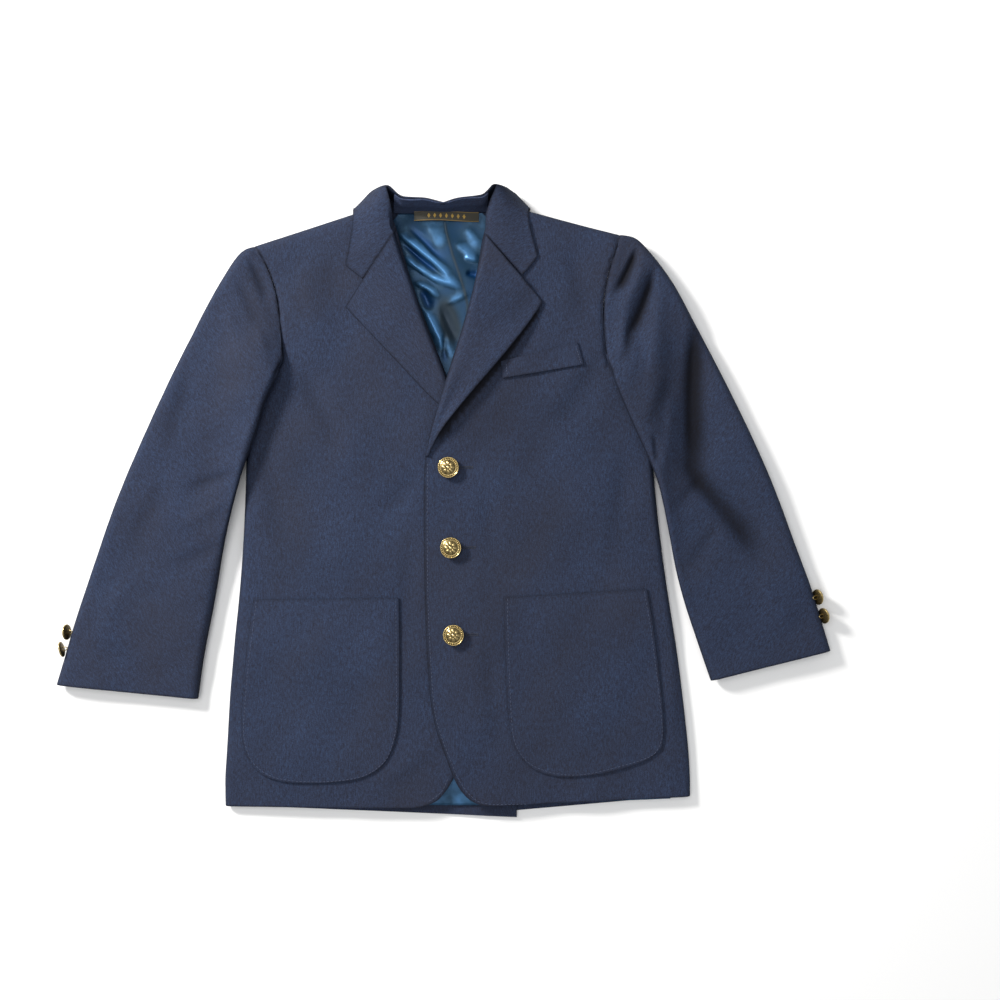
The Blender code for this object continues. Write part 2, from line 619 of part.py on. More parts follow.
def edge_round(steps, to_side, to_shoulder):
    """Height share near the rounded side and shoulder."""
    side = side_share(to_side.shape[0], steps)[:, None]
    round_side = rounded(to_side, SIDE_ROLL)
    share = side * round_side + (1.0 - side)
    shoulder = rounded(to_shoulder, SHOULDER_ROLL)
    return share * shoulder


def add_front(name, table, height):
    grid, to_side, to_shoulder = body_sections(table, "front", BODY_COLUMNS, 2)
    x, y = grid[..., 0], grid[..., 1]
    share = edge_round(2, to_side, to_shoulder)
    top = height(x, y)
    middle = 0.5 * body_height(x, y)
    z = middle + SEAM / 2 + (top - middle - SEAM / 2) * share
    outer = surface(grid, z)
    normals = level_normals(normals_of(outer, 1), rows=[-1])
    level_side(normals, 2)
    side = side_share(len(grid), 2)[:, None]
    to_edge = np.minimum(to_side + FAR * (1.0 - side), to_shoulder)
    return add_shell(name, outer, inside_of(outer, normals, to_edge, CLOTH), NAVY)


def level_side(normals, steps):
    """Level normals at the side's edge, where the front and back meet edge to edge."""
    for i in np.where(side_share(len(normals), steps) > 0.5)[0]:
        flat = normals[i, -1] * (1, 1, 0)
        normals[i, -1] = flat / np.linalg.norm(flat)


def add_back(name, table, inner_edge, laps):
    """One half of the back. inner_edge gives the distance from the centre line at which it starts."""
    def lead(y):
        return (inner_edge(y), *VENT_RAMP)

    grid, to_side, to_shoulder = body_sections(table, "back", BACK_COLUMNS, 1, lead)
    x, y = grid[..., 0], grid[..., 1]
    # The neck edge is open, so only the shoulder's own width is rounded
    shoulder_part = smooth(*NECK_END, np.abs(x))
    to_shoulder = np.where(shoulder_part > 0, to_shoulder / np.maximum(shoulder_part, 0.02), FAR)
    share = edge_round(1, to_side, to_shoulder)
    low = FALL_LIFT * fall_mask(x, y)
    if laps:
        low[:, :2] += VENT_LIFT * (1.0 - smooth(VENT_TOP + 1.0, VENT_TOP + VENT_FADE, y[:, :2]))
    middle = 0.5 * body_height(x, y)
    z = middle - SEAM / 2 - (middle - SEAM / 2 - low) * share
    outer = surface(grid, z)
    normals = normals_of(outer, -1)
    level_side(normals, 1)
    for j in np.where(shoulder_part[-1] > 0.5)[0]:
        flat = normals[-1, j] * (1, 1, 0)
        normals[-1, j] = flat / np.linalg.norm(flat)
    side = side_share(len(grid), 1)[:, None]
    to_edge = np.minimum(to_side + FAR * (1.0 - side), to_shoulder)
    return add_shell(name, outer, inside_of(outer, normals, to_edge, CLOTH), NAVY)


def right_back_edge(y):
    """The right back runs on past the centre seam under the vent as an underlap."""
    return SEAM / 2 - UNDERLAP * (1.0 - smooth(VENT_TOP - VENT_SLANT, VENT_TOP - 1.0, y))


def left_back_edge(y):
    return SEAM / 2 + 0.1


def body_side_x(side, y):
    """Where the body's side lies, for the sleeve that lies on it."""
    table = RIGHT_BODY if side < 0 else LEFT_BODY
    rows = table[:SIDE_ROWS]
    return np.interp(y, [row.side_y for row in rows], [row.side_x for row in rows])


def sleeve_lift(side, x, y):
    """How high the body's side holds the sleeve."""
    edge = body_side_x(side, y)
    outside = side * (x - edge)
    held = body_height(edge, y) + SLEEVE_CLEAR
    across = 1.0 - smooth(1.0, LIFT_FADE_X, outside)
    along = 1.0 - smooth(LIFT_TOP_Y, LIFT_TOP_Y + LIFT_FADE_Y, y)
    return held * across * along


def armhole_x(side, y):
    """Where the body's armhole edge lies, for the sleeve that is sewn to it."""
    table = (RIGHT_BODY if side < 0 else LEFT_BODY)[ARMPIT_ROW - 2 :]
    return np.interp(y, centripetal([row.side_y for row in table], 4),
                     centripetal([row.side_x for row in table], 4))


def add_sleeve(side, table, meeting, piece):
    """Top and under panels of one sleeve, which meet at its two folds."""
    steps = 2
    columns = {field: centripetal([getattr(row, field) for row in table], steps)
               for field in SleeveRow._fields}
    rows = len(columns["bow"])
    turn = SLEEVE_ROLL * np.array(SLEEVE_TURNS)
    grid = np.zeros((rows, SLEEVE_COLUMNS, 2))
    to_fold = np.zeros((rows, SLEEVE_COLUMNS))
    for i in range(rows):
        inner = np.array([columns["inner_x"][i], columns["inner_y"][i]])
        outer = np.array([columns["outer_x"][i], columns["outer_y"][i]])
        length = np.hypot(*(outer - inner))
        even = np.linspace(SLEEVE_ROLL, length - SLEEVE_ROLL, SLEEVE_COLUMNS - 2 * len(turn) + 2)
        run = np.concatenate([turn, even[1:-1], length - turn[::-1]])
        share = run / length
        across = (outer - inner) / length
        sideways = np.array([-across[1], across[0]])
        bow = abs(columns["bow"][i]) * 4 * share * (1 - share)
        toward_body = sideways if sideways[0] * side < 0 else -sideways
        grid[i] = inner + (outer - inner) * share[:, None] + toward_body * bow[:, None]
        to_fold[i] = np.minimum(run, length - run)
    # The seam at the armhole stays clear of the body's own edge
    grid[0, :, 0] = armhole_x(side, grid[0, :, 1]) + side * ARMHOLE_GAP
    spacing = SECTION_GAP * smooth(0.0, GAP_FROM, np.linspace(0.0, 1.0, SLEEVE_COLUMNS))
    for i in range(1, rows):
        grid[i, :, 0] = side * np.maximum(side * grid[i, :, 0], side * grid[i - 1, :, 0] + spacing)
    x, y = grid[..., 0], grid[..., 1]
    low = sleeve_lift(side, x, y)
    joined = 1.0 - smooth(0.0, JOINED_SECTIONS, np.arange(rows, dtype=float))[:, None]
    crown = columns["crown"][:, None] - SETTLING * low
    height = np.maximum(crown, FLATTEST_SLEEVE)
    at_seam = np.maximum(body_height(x, y), low + FLATTEST_SLEEVE)
    top = (low + height) * (1.0 - joined) + at_seam * joined
    top = top + folds(piece, x, y) * rounded(to_fold, FOLD_CLEAR)
    middle = np.minimum(low + meeting * height, top - 0.5 * FLATTEST_SLEEVE)
    share = rounded(to_fold, SLEEVE_ROLL)
    gap = SEAM / 2 + ARMHOLE_SPREAD * joined
    upper = surface(grid, middle + gap + (top - middle - gap) * share)
    lower = surface(grid, middle - gap - (middle - gap - low) * share)
    up_normals = level_normals(normals_of(upper, 1), columns=[0, -1])
    low_normals = level_normals(normals_of(lower, -1), columns=[0, -1])
    add_shell(piece + "_top", upper, inside_of(upper, up_normals, to_fold, CLOTH), NAVY)
    few = list(UNDER_COLUMNS)
    under = inside_of(lower, low_normals, to_fold, CLOTH)
    add_shell(piece + "_under", lower[:, few], under[:, few], NAVY)


def lapel_plan(table, steps, columns):
    """Plan grid of a lapel and each point's distance from the roll line and width of its section."""
    fields = {field: centripetal([getattr(row, field) for row in table], steps)
              for field in LapelRow._fields}
    rows = len(fields["roll_x"])
    grid = np.zeros((rows, columns, 2))
    run = np.zeros((rows, columns))
    width = np.zeros((rows, 1))
    curl = np.array(LAPEL_TURNS)
    for i in range(rows):
        roll = np.array([fields["roll_x"][i], fields["roll_y"][i]])
        edge = np.array([fields["edge_x"][i], fields["edge_y"][i]])
        length = np.hypot(*(edge - roll))
        radius = min(LAPEL_ROLL, SHORT_ROLL * length)
        rest = np.linspace(radius, length, columns - len(curl) + 1)
        run[i] = np.concatenate([radius * curl, rest[1:]])
        grid[i] = roll + (edge - roll) * (run[i] / length)[:, None]
        width[i] = length
    return grid, run, width


def add_lapel(name, table, height):
    grid, run, width = lapel_plan(table, 2, LAPEL_COLUMNS)
    x, y = grid[..., 0], grid[..., 1]
    base = height(x, y) + LAY_GAP
    rise = LAPEL_RISE * smooth(*RISE_WIDTHS, width)
    radius = np.minimum(LAPEL_ROLL, SHORT_ROLL * width)
    swell = LAPEL_WALL + rise * (1.0 - smooth(0.25, 1.0, run / width))
    z = base + THIN_EDGE + (swell - THIN_EDGE) * rounded(run, radius)
    outer = surface(grid, z)
    normals = level_normals(normals_of(outer, 1), columns=[0])
    # A lapel starts thin at its break point
    wall = LAPEL_WALL * (1.0 - BREAK_THINNING * (1.0 - smooth(*WALL_WIDTHS, width)))
    inner = outer - normals * wall[..., None]
    inner[..., 2] = np.maximum(inner[..., 2], base)
    inner[:, 0, 2] = outer[:, 0, 2]
    return add_shell(name, outer, inner, NAVY)


def fall_section(row, standing, share, height):
    """Outer surface of the collar's fall along one section, for shares 0 to 1 of its width.
    standing is 0 where the fold curls down to the front and 1 where it stands at the stand's height."""
    fold = np.array([row.fold_x, row.fold_y])
    edge = np.array([row.edge_x, row.edge_y])
    length = np.hypot(*(edge - fold))
    plan = fold + (edge - fold) * share[:, None]
    rest = height(plan[:, 0], plan[:, 1]) + LAY_GAP + LAPEL_WALL
    droop = (row.fold_z - rest[0]) * (1.0 - smooth(0.1, 1.0, share))
    curl = rounded(share * length, LAPEL_ROLL)
    curl += (1.0 - curl) * standing
    front_z = rest - LAPEL_WALL + THIN_EDGE + (LAPEL_WALL - THIN_EDGE + droop) * curl
    front = np.column_stack([plan, front_z])
    # Behind the neck the fall goes down from the fold and then forward under the back
    turned = [point.share for point in BEHIND]
    behind = np.zeros((len(share), 3))
    behind[:, 0] = plan[:, 0]
    out = np.interp(share, turned, [point.out for point in BEHIND])
    forward = np.clip((share - TURN_SHARE) / (1.0 - TURN_SHARE), 0.0, 1.0)
    behind[:, 1] = fold[1] + out + (edge[1] - fold[1]) * forward
    behind[:, 2] = row.fold_z * np.interp(share, turned, [point.height for point in BEHIND])
    return (1.0 - row.wrap) * front + row.wrap * behind


def add_fall(name, table, side, height):
    share = np.array(FALL_SHARES)
    standing = smooth(*STANDING_SECTIONS, np.arange(len(table), dtype=float))
    outer = np.array([fall_section(row, stand, share, height) for row, stand in zip(table, standing)])
    across = np.gradient(outer, axis=1)
    along = np.gradient(outer, axis=0)
    normals = np.cross(across, along) * (1 if side > 0 else -1)
    normals /= np.linalg.norm(normals, axis=2, keepdims=True)
    if normals[0, -3, 2] < 0:
        normals = -normals
    # The wall is thinner where the fold turns sharply back on itself at the top corner
    wrap = np.array([row.wrap for row in table])
    wall = COLLAR_WALL - CORNER_THINNING * 4.0 * wrap * (1.0 - wrap)
    inner = outer - normals * wall[:, None, None]
    on_front = height(inner[..., 0], inner[..., 1]) + LAY_GAP
    inner[..., 2] = np.where(wrap[:, None] == 0, np.maximum(inner[..., 2], on_front), inner[..., 2])
    return add_shell(name, outer, inner, NAVY)


def add_stand():
    """Band from the neck seam up to the collar's fold."""
    fields = {field: centripetal([getattr(row, field) for row in STAND], 2) for field in StandRow._fields}
    share = np.linspace(0.0, 1.0, STAND_COLUMNS)[None, :, None]
    base = np.stack([fields["base_x"], fields["base_y"], fields["base_z"]], axis=1)[:, None, :]
    fold = np.stack([fields["fold_x"], fields["fold_y"], fields["fold_z"]], axis=1)[:, None, :]
    visible = base + (fold - base) * share
    normals = np.cross(np.gradient(visible, axis=1), np.gradient(visible, axis=0))
    normals /= np.linalg.norm(normals, axis=2, keepdims=True)
    middle = len(visible) // 2
    if normals[middle, 1, 1] > 0:
        normals = -normals
    return add_shell("collar_stand", visible, visible - normals * STAND_WALL, NAVY)


def add_patch(name, table, height, columns, wall):
    """A patch cut like its table and laid on a front, moved out from its surface."""
    is_pocket = len(table) > 2
    fields = {field: centripetal([getattr(row, field) for row in table], 1 if is_pocket else 2)
              for field in PocketRow._fields}
    rows = len(fields["low_x"])
    share = np.linspace(0.0, 1.0, columns)
    low = np.stack([fields["low_x"], fields["low_y"]], axis=1)[:, None, :]
    high = np.stack([fields["high_x"], fields["high_y"]], axis=1)[:, None, :]
    grid = low + (high - low) * share[None, :, None]
    if is_pocket:
        foot = rows - 1.0
        bow = FOOT_BOW * smooth(foot - FOOT_SECTIONS, foot, np.arange(rows, dtype=float))[:, None]
        grid[..., 1] -= bow * share * (1 - share)
    x, y = grid[..., 0], grid[..., 1]
    base = height(x, y) + LAY_GAP
    return add_shell(name, surface(grid, base + wall), surface(grid, base), NAVY)


def lining_base(x, y):
    """Upper surface of whatever the lining lies on."""
    return CLOTH + VENT_LIFT * vent_mask(x, y) + FALL_LIFT * fall_mask(x, y + LINING_LEAD)


def add_lining():
    fields = {field: centripetal([getattr(row, field) for row in LINING], 1) for field in LiningRow._fields}
    share = np.linspace(0.0, 1.0, LINING_COLUMNS)
    right = np.stack([fields["right_x"], fields["right_y"]], axis=1)[:, None, :]
    left = np.stack([fields["left_x"], fields["left_y"]], axis=1)[:, None, :]
    grid = right + (left - right) * share[None, :, None]
    grid[..., 1] -= fields["hem_sag"][:, None] * np.sin(np.pi * share)
    x, y = grid[..., 0], grid[..., 1]
    seam = lining_base(x, y) + LINING_CLEAR
    loose = smooth(*LOOSE_FROM, SEWN_AT_Y - y)
    top = seam + LINING_WALL + np.maximum(folds("lining", x, y), 0.0) * loose
    return add_shell("back_lining", surface(grid, top), surface(grid, top - LINING_WALL), SATIN)


def add_label():
    xs = np.linspace(LABEL_LOW[0], LABEL_HIGH[0], LABEL_COLUMNS)
    ys = np.linspace(LABEL_LOW[1], LABEL_HIGH[1], 2)
    grid = np.stack(np.meshgrid(xs, ys), axis=2)
    x, y = grid[..., 0], grid[..., 1]
    base = lining_base(x, y) + LINING_CLEAR + LINING_WALL + LABEL_CLEAR
    return add_shell("neck_label", surface(grid, base + LABEL_WALL), surface(grid, base), LABEL)


def button_profile(radius):
    """Radius and height of a domed metal button, from the foot of its shank to the middle of its face."""
    return (
        (0.0, 0.0),
        (SHANK_RADIUS, 0.0),
        (SHANK_RADIUS, SHANK_HEIGHT),
        (0.55 * radius, SHANK_HEIGHT),
        (0.92 * radius, SHANK_HEIGHT + 0.06 * radius),
        (radius, SHANK_HEIGHT + 0.16 * radius),
        (0.96 * radius, SHANK_HEIGHT + 0.27 * radius),
        (0.84 * radius, SHANK_HEIGHT + 0.24 * radius),
        (0.6 * radius, SHANK_HEIGHT + 0.36 * radius),
        (0.3 * radius, SHANK_HEIGHT + 0.43 * radius),
        (0.0, SHANK_HEIGHT + 0.45 * radius),
    )


def add_button(name, radius, place, axis):
    """Turned button standing on its shank at a place, with its face along the axis."""
    profile = button_profile(radius)
    points = [(0.0, 0.0, profile[0][1])]
    for r, h in profile[1:-1]:
        for k in range(BUTTON_SIDES):
            angle = 2 * math.pi * k / BUTTON_SIDES
            points.append((r * math.cos(angle), r * math.sin(angle), h))
    points.append((0.0, 0.0, profile[-1][1]))
    faces = []
    for k in range(BUTTON_SIDES):
        following = (k + 1) % BUTTON_SIDES
        faces.append((0, 1 + following, 1 + k))
        for ring in range(len(profile) - 3):
            a = 1 + ring * BUTTON_SIDES
            b = a + BUTTON_SIDES
            faces.append((a + k, a + following, b + following, b + k))
        last = 1 + (len(profile) - 3) * BUTTON_SIDES
        faces.append((last + k, last + following, len(points) - 1))
    axis = np.array(axis, float) / np.linalg.norm(axis)
    helper = np.array([0.0, 1.0, 0.0])
    side = np.cross(helper, axis)
    side /= np.linalg.norm(side)
    frame = np.stack([side, np.cross(axis, side), axis], axis=1)
    obj = add_mesh(name, np.array(points) * MM, faces, BRASS)
    obj.matrix_world = matrix_from(frame, (np.array(place) - CENTRE) * MM)
    return obj


def matrix_from(frame, place):
    rows = [[*frame[i], place[i]] for i in range(3)]
    return type(bpy.context.scene.cursor.matrix)([*rows, [0.0, 0.0, 0.0, 1.0]])


def build():
    for obj in list(bpy.data.objects):
        bpy.data.objects.remove(obj)
    add_front("front_right", RIGHT_BODY, body_height)
    add_front("front_left", LEFT_BODY, left_front_height)
    add_back("back_right", RIGHT_BODY, right_back_edge, True)
    add_back("back_left", LEFT_BODY, left_back_edge, False)
    add_sleeve(-1, RIGHT_SLEEVE, RIGHT_MEETING, "sleeve_right")
    add_sleeve(1, LEFT_SLEEVE, LEFT_MEETING, "sleeve_left")
    add_lapel("lapel_right", RIGHT_LAPEL, body_height)
    add_lapel("lapel_left", LEFT_LAPEL, left_front_height)
    add_fall("collar_fall_right", RIGHT_FALL, -1, body_height)
    add_fall("collar_fall_left", LEFT_FALL, 1, body_height)
    add_stand()
    add_patch("pocket_right", RIGHT_POCKET, body_height, POCKET_COLUMNS, POCKET_WALL)
    add_patch("pocket_left", LEFT_POCKET, left_front_height, POCKET_COLUMNS, POCKET_WALL)
    add_patch("breast_welt", WELT, left_front_height, WELT_COLUMNS, POCKET_WALL)
    add_lining()
    add_label()
    for place in FRONT_BUTTONS:
        z = left_front_height(place.x, place.y) + THREAD_GAP
        add_button(place.name, FRONT_BUTTON_RADIUS, (place.x, place.y, z), (0.0, 0.0, 1.0))
    for place in CUFF_BUTTONS:
        axis = (place.side * CUFF_AXIS[0], *CUFF_AXIS[1:])
        add_button(place.name, CUFF_BUTTON_RADIUS, (place.x, place.y, place.height), axis)


build()
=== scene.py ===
import math
from collections import namedtuple

import bmesh
import bpy
import numpy as np
from mathutils import Matrix, Vector
from mathutils.bvhtree import BVHTree
from mathutils.kdtree import KDTree


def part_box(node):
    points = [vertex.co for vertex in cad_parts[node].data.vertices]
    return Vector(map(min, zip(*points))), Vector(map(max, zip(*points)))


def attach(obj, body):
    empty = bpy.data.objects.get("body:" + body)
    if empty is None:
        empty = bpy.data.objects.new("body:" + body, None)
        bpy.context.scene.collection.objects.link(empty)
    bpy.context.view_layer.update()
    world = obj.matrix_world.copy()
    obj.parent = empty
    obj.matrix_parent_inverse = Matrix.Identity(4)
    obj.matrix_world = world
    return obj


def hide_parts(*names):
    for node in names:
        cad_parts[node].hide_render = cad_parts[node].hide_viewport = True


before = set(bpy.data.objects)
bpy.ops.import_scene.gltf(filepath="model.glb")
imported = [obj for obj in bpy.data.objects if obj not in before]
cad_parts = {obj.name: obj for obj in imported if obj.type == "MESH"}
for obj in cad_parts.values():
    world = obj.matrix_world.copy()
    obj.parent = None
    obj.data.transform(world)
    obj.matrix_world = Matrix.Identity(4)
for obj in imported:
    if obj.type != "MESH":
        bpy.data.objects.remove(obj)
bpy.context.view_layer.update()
MM = 0.001

# Soft creases in millimetres on the garment's plan: a trough (negative) or ridge along a line
Crease = namedtuple("Crease", "group x0 y0 x1 y1 width height")
CREASES = (
    # Body: broad pulls from the armpits, the button line and the pockets' weight
    Crease("body", -148, 140, -95, 40, 15, -1.6),
    Crease("body", -120, 120, -70, 10, 18, 1.0),
    Crease("body", -176, 60, -150, -60, 13, -1.3),
    Crease("body", -100, -40, -92, -84, 12, 0.8),
    Crease("body", -30, -20, -46, -210, 11, -1.0),
    Crease("body", -22, 30, -60, -10, 10, -0.9),
    Crease("body", 150, 140, 100, 70, 15, -1.5),
    Crease("body", 60, 60, 110, -40, 18, 0.9),
    Crease("body", 170, 50, 160, -70, 13, -1.2),
    Crease("body", 36, 20, 50, -70, 10, -0.9),
    Crease("body", 40, -130, 52, -240, 9, -1.0),
    Crease("body", 100, 225, 60, 160, 16, -1.0),
    Crease("body", -110, 238, -100, 150, 18, -1.0),
    Crease("body", -135, 225, -120, 160, 10, 0.8),
    Crease("body", 120, 240, 134, 170, 12, -1.1),
    Crease("body", -196, -110, -200, -250, 7, -1.2),
    Crease("body", 222, -120, 230, -240, 7, -1.2),
    Crease("body", -60, -268, 0, -225, 10, 0.9),
    # Wearer's left sleeve: the folds under the sleeve head and the long hollow down its outer third
    Crease("left", 184, 241, 163, 198, 5, -4.6),
    Crease("left", 200, 222, 174, 150, 6.5, -4.4),
    Crease("left", 178, 160, 168, 128, 7, -1.8),
    Crease("left", 190, 224, 170, 178, 6, 1.8),
    Crease("left", 206, 200, 198, 130, 9, 1.6),
    Crease("left", 241, 182, 230, 16, 12, -4.8),
    Crease("left", 228, 40, 304, -60, 13, -3.4),
    Crease("left", 216, 100, 210, 30, 8, 1.4),
    Crease("left", 198, 66, 203, 34, 4, -1.8),
    Crease("left", 214, 120, 196, 66, 9, -1.5),
    Crease("left", 246, 24, 218, -8, 8, -1.3),
    Crease("left", 262, -20, 228, -66, 9, -1.2),
    Crease("left", 300, -70, 330, -120, 12, 1.0),
    # Wearer's right sleeve: shallower folds at the head, the elbow's short ones and a soft ridge
    Crease("right", -183, 232, -166, 188, 6, -2.0),
    Crease("right", -196, 214, -172, 160, 7, -1.4),
    Crease("right", -206, 190, -186, 120, 9, 1.2),
    Crease("right", -240, 132, -262, 40, 12, -1.5),
    Crease("right", -196, 30, -246, 12, 8, -1.8),
    Crease("right", -204, 2, -250, -20, 7, 1.1),
    Crease("right", -212, -40, -262, -58, 9, -1.2),
    Crease("right", -262, 30, -306, -60, 13, -1.2),
    Crease("right", -300, -70, -330, -140, 12, 0.9),
    # Satin lining in the neck: loose diagonal folds, and the centre-back pleat
    Crease("lining", -42, 257, 10, 211, 4.2, 3.0),
    Crease("lining", -31, 261, 0, 231, 3.4, -1.6),
    Crease("lining", -14, 266, -2, 244, 7.5, 1.2),
    Crease("lining", -38, 247, -4, 220, 3.4, -2.6),
    Crease("lining", -37, 235, -12, 214, 3.6, 2.4),
    Crease("lining", -14, 216, 16, 205, 4.0, 2.4),
    Crease("lining", -28, 224, -8, 208, 3.0, -0.9),
    Crease("lining", -27, 211, -4, 197, 3.4, 1.9),
    Crease("lining", -21, 203, -12, 185, 4.6, -2.6),
    Crease("lining", -19, 186, 9, 137, 5.0, 2.8),
    Crease("lining", 0, 161, 2, 134, 3.4, -2.4),
    Crease("lining", -2, 188, 14, 150, 5.5, -1.4),
    Crease("lining", 2, 190, 24, 199, 3.4, 1.0),
    Crease("lining", 12, 248, 30, 232, 5.0, 1.3),
    Crease("lining", 20, 234, 34, 232, 3.4, 1.8),
    Crease("lining", 22, 219, 34, 217, 3.4, -2.2),
    Crease("lining", 22, 262, 34, 244, 5.5, 1.1),
)
# Line of the lining's centre-back pleat on the plan, from the neck down, and its step in millimetres
PLEAT = ((1.5, 268.0), (3.0, 258.0), (9.0, 236.0), (15.0, 219.0), (20.0, 203.0), (23.0, 190.0),
         (24.0, 150.0))
PLEAT_STEP = 0.4
PLEAT_SPREAD = 22.0
# Part of the lining that shows in the neck: y where its folds begin and end
LINING_FROM_Y = (120.0, 160.0)
LINING_TO_Y = (262.0, 276.0)
# Heights of a crease at which the satin is painted with its deepest blue shade and its brightest blue
# highlight
SATIN_RANGE = (-1.8, 2.2)
# The satin at the hem is painted this much further towards the bright blue of the painted highlight
HEM_PAINTED_HIGHLIGHT = 0.18
HEM_Y = (-262.0, -240.0)
# Patch of the satin in grey shade: middle x and y, half width and half height
SHADED_SATIN = (6.0, 174.0, 11.0, 24.0)
SATIN_SHADE_LEVEL = 0.9

# A crease's upper left side, towards the light, is this much narrower than its other side
STEEP_SIDE = 0.6
# Depth in millimetres at which a crease is in full shade
HOLLOW_DEPTH = 4.5

# Slow unevenness of the cloth as it lies, in millimetres
UNEVEN = 1.1
UNEVEN_PITCH = 46.0
UNEVEN_WAVES = 7
# Creases act in full on cloth above the second height, and not at all below the first
FREE_HEIGHTS = (4.0, 10.0)

# Stitches, in millimetres
STITCH_LENGTH = 2.3
STITCH_PITCH = 3.7
STITCH_RADIUS = 0.26

# The photo's view from straight above, in millimetres
PHOTO_CENTRE = (54.1, 2.85)
CAMERA_HEIGHT = 1250.0
FLOOR_WIDTH_IN_VIEW = 960.0
SENSOR = 36.0


def smooth(low, high, value):
    """Share from 0 at low to 1 at high, with soft ends."""
    t = np.clip((value - low) / (high - low), 0.0, 1.0)
    return t * t * (3.0 - 2.0 * t)


def crease_height(group, x, y):
    """Sum of a group's creases, in millimetres."""
    total = np.zeros(len(x))
    for k, crease in enumerate(c for c in CREASES if c.group == group):
        line = np.array([crease.x1 - crease.x0, crease.y1 - crease.y0], float)
        length = np.hypot(*line)
        line /= length
        run = ((x - crease.x0) * line[0] + (y - crease.y0) * line[1]) / length
        bend = 0.035 * length * np.sin(np.pi * run + k) * np.clip(run, 0, 1)
        off = (x - crease.x0) * line[1] - (y - crease.y0) * line[0] + bend
        fade = smooth(-0.1, 0.3, run) * (1.0 - smooth(0.65, 1.12, run))
        width = crease.width * (0.8 + 0.5 * np.clip(run, 0, 1))
        width *= np.where(off > 0, STEEP_SIDE, 1.0)
        total += crease.height * fade * np.exp(-((off / width) ** 2))
    return total


def unevenness(x, y, seed):
    """Sum of a few long slanted waves."""
    total = np.zeros(len(x))
    random = np.random.default_rng(seed)
    for _ in range(UNEVEN_WAVES):
        angle = random.uniform(0, math.pi)
        pitch = UNEVEN_PITCH * random.uniform(0.6, 2.4)
        phase = random.uniform(0, 2 * math.pi)
        across = x * math.cos(angle) + y * math.sin(angle)
        total += np.sin(2 * math.pi * across / pitch + phase) * pitch / UNEVEN_PITCH
    return total * UNEVEN / UNEVEN_WAVES


def new_material(name):
    material = bpy.data.materials.new(name)
    material.use_nodes = True
    tree = material.node_tree
    return material, tree, tree.nodes["Principled BSDF"]


def plan_coordinates(tree, angle, pitch):
    """Object coordinates turned by an angle and scaled so that one unit is a pitch in metres."""
    coordinates = tree.nodes.new("ShaderNodeTexCoord")
    mapping = tree.nodes.new("ShaderNodeMapping")
    mapping.inputs["Rotation"].default_value = (0.0, 0.0, math.radians(angle))
    mapping.inputs["Scale"].default_value = (1 / pitch, 1 / pitch, 1 / pitch)
    tree.links.new(coordinates.outputs["Object"], mapping.inputs["Vector"])
    return mapping


def wave(tree, vector, direction, distortion):
    node = tree.nodes.new("ShaderNodeTexWave")
    node.wave_type = "BANDS"
    node.bands_direction = direction
    node.wave_profile = "SIN"
    node.inputs["Scale"].default_value = 1 / math.tau * math.pi
    node.inputs["Distortion"].default_value = distortion
    node.inputs["Detail"].default_value = 1.0
    node.inputs["Detail Scale"].default_value = 0.8
    tree.links.new(vector, node.inputs["Vector"])
    return node.outputs["Fac"]


def noise(tree, vector, scale, detail=3.0):
    node = tree.nodes.new("ShaderNodeTexNoise")
    node.inputs["Scale"].default_value = scale
    node.inputs["Detail"].default_value = detail
    tree.links.new(vector, node.inputs["Vector"])
    return node.outputs["Fac"]


def mix_colour(tree, factor, low, high):
    """Colour between two, by a factor output."""
    node = tree.nodes.new("ShaderNodeMix")
    node.data_type = "RGBA"
    tree.links.new(factor, node.inputs["Factor"])
    for socket, value in ((node.inputs[6], low), (node.inputs[7], high)):
        if isinstance(value, tuple):
            socket.default_value = (*value, 1.0)
        else:
            tree.links.new(value, socket)
    return node.outputs[2]


def math_node(tree, operation, first, second):
    node = tree.nodes.new("ShaderNodeMath")
    node.operation = operation
    for socket, value in zip(node.inputs, (first, second)):
        if isinstance(value, (int, float)):
            socket.default_value = value
        else:
            tree.links.new(value, socket)
    return node.outputs[0]


def map_range(tree, value, low, high, to_low=0.0, to_high=1.0):
    node = tree.nodes.new("ShaderNodeMapRange")
    node.inputs["From Min"].default_value = low
    node.inputs["From Max"].default_value = high
    node.inputs["To Min"].default_value = to_low
    node.inputs["To Max"].default_value = to_high
    tree.links.new(value, node.inputs["Value"])
    return node.outputs["Result"]


# Yarns of the cloth as linear colours: the dark, the navy and the lit blue ones
YARN_DARK = (0.0145, 0.0145, 0.023)
YARN_NAVY = (0.0235, 0.031, 0.059)
YARN_BLUE = (0.0345, 0.058, 0.120)
YARN_RANGE = (0.34, 0.82)
# Browner colour of the faded clouds, and the near black of the painted shade in creases, along edges and
# where the cloth rolls away
SHADE = (0.026, 0.024, 0.030)
PAINTED_SHADE_BLACK = (0.0045, 0.004, 0.005)
PAINTED_SHADE_SHARE = 0.85
# Pitches of the cloth's parts in metres, their shares of its colour and their turns in degrees
STREAK = (0.0011, 0.0040, 0.0011)
STREAK_SHARE = 0.55
GRAIN_PITCH = 0.0009
GRAIN_SHARE = 0.55
RIB_PITCH = 0.0014
RIB_TURN = 14.0
THREAD_PITCH = 0.0011
THREAD_TURN = -20.0
WEAVE_SHARE = 0.16
CLOUD = (0.060, 0.108, 0.060)
CLOUD_TURN = 20.0
CLOUD_FROM = 0.40
CLOUD_TO = 0.72
CLOUD_SHARE = 0.34
# The stand lies behind the collar's fold and is still as light as it in the photo
# Painted light: the stand's yarns are made this much lighter against the shade of the collar's fold
STAND_PAINTED_LIGHT = 1.7


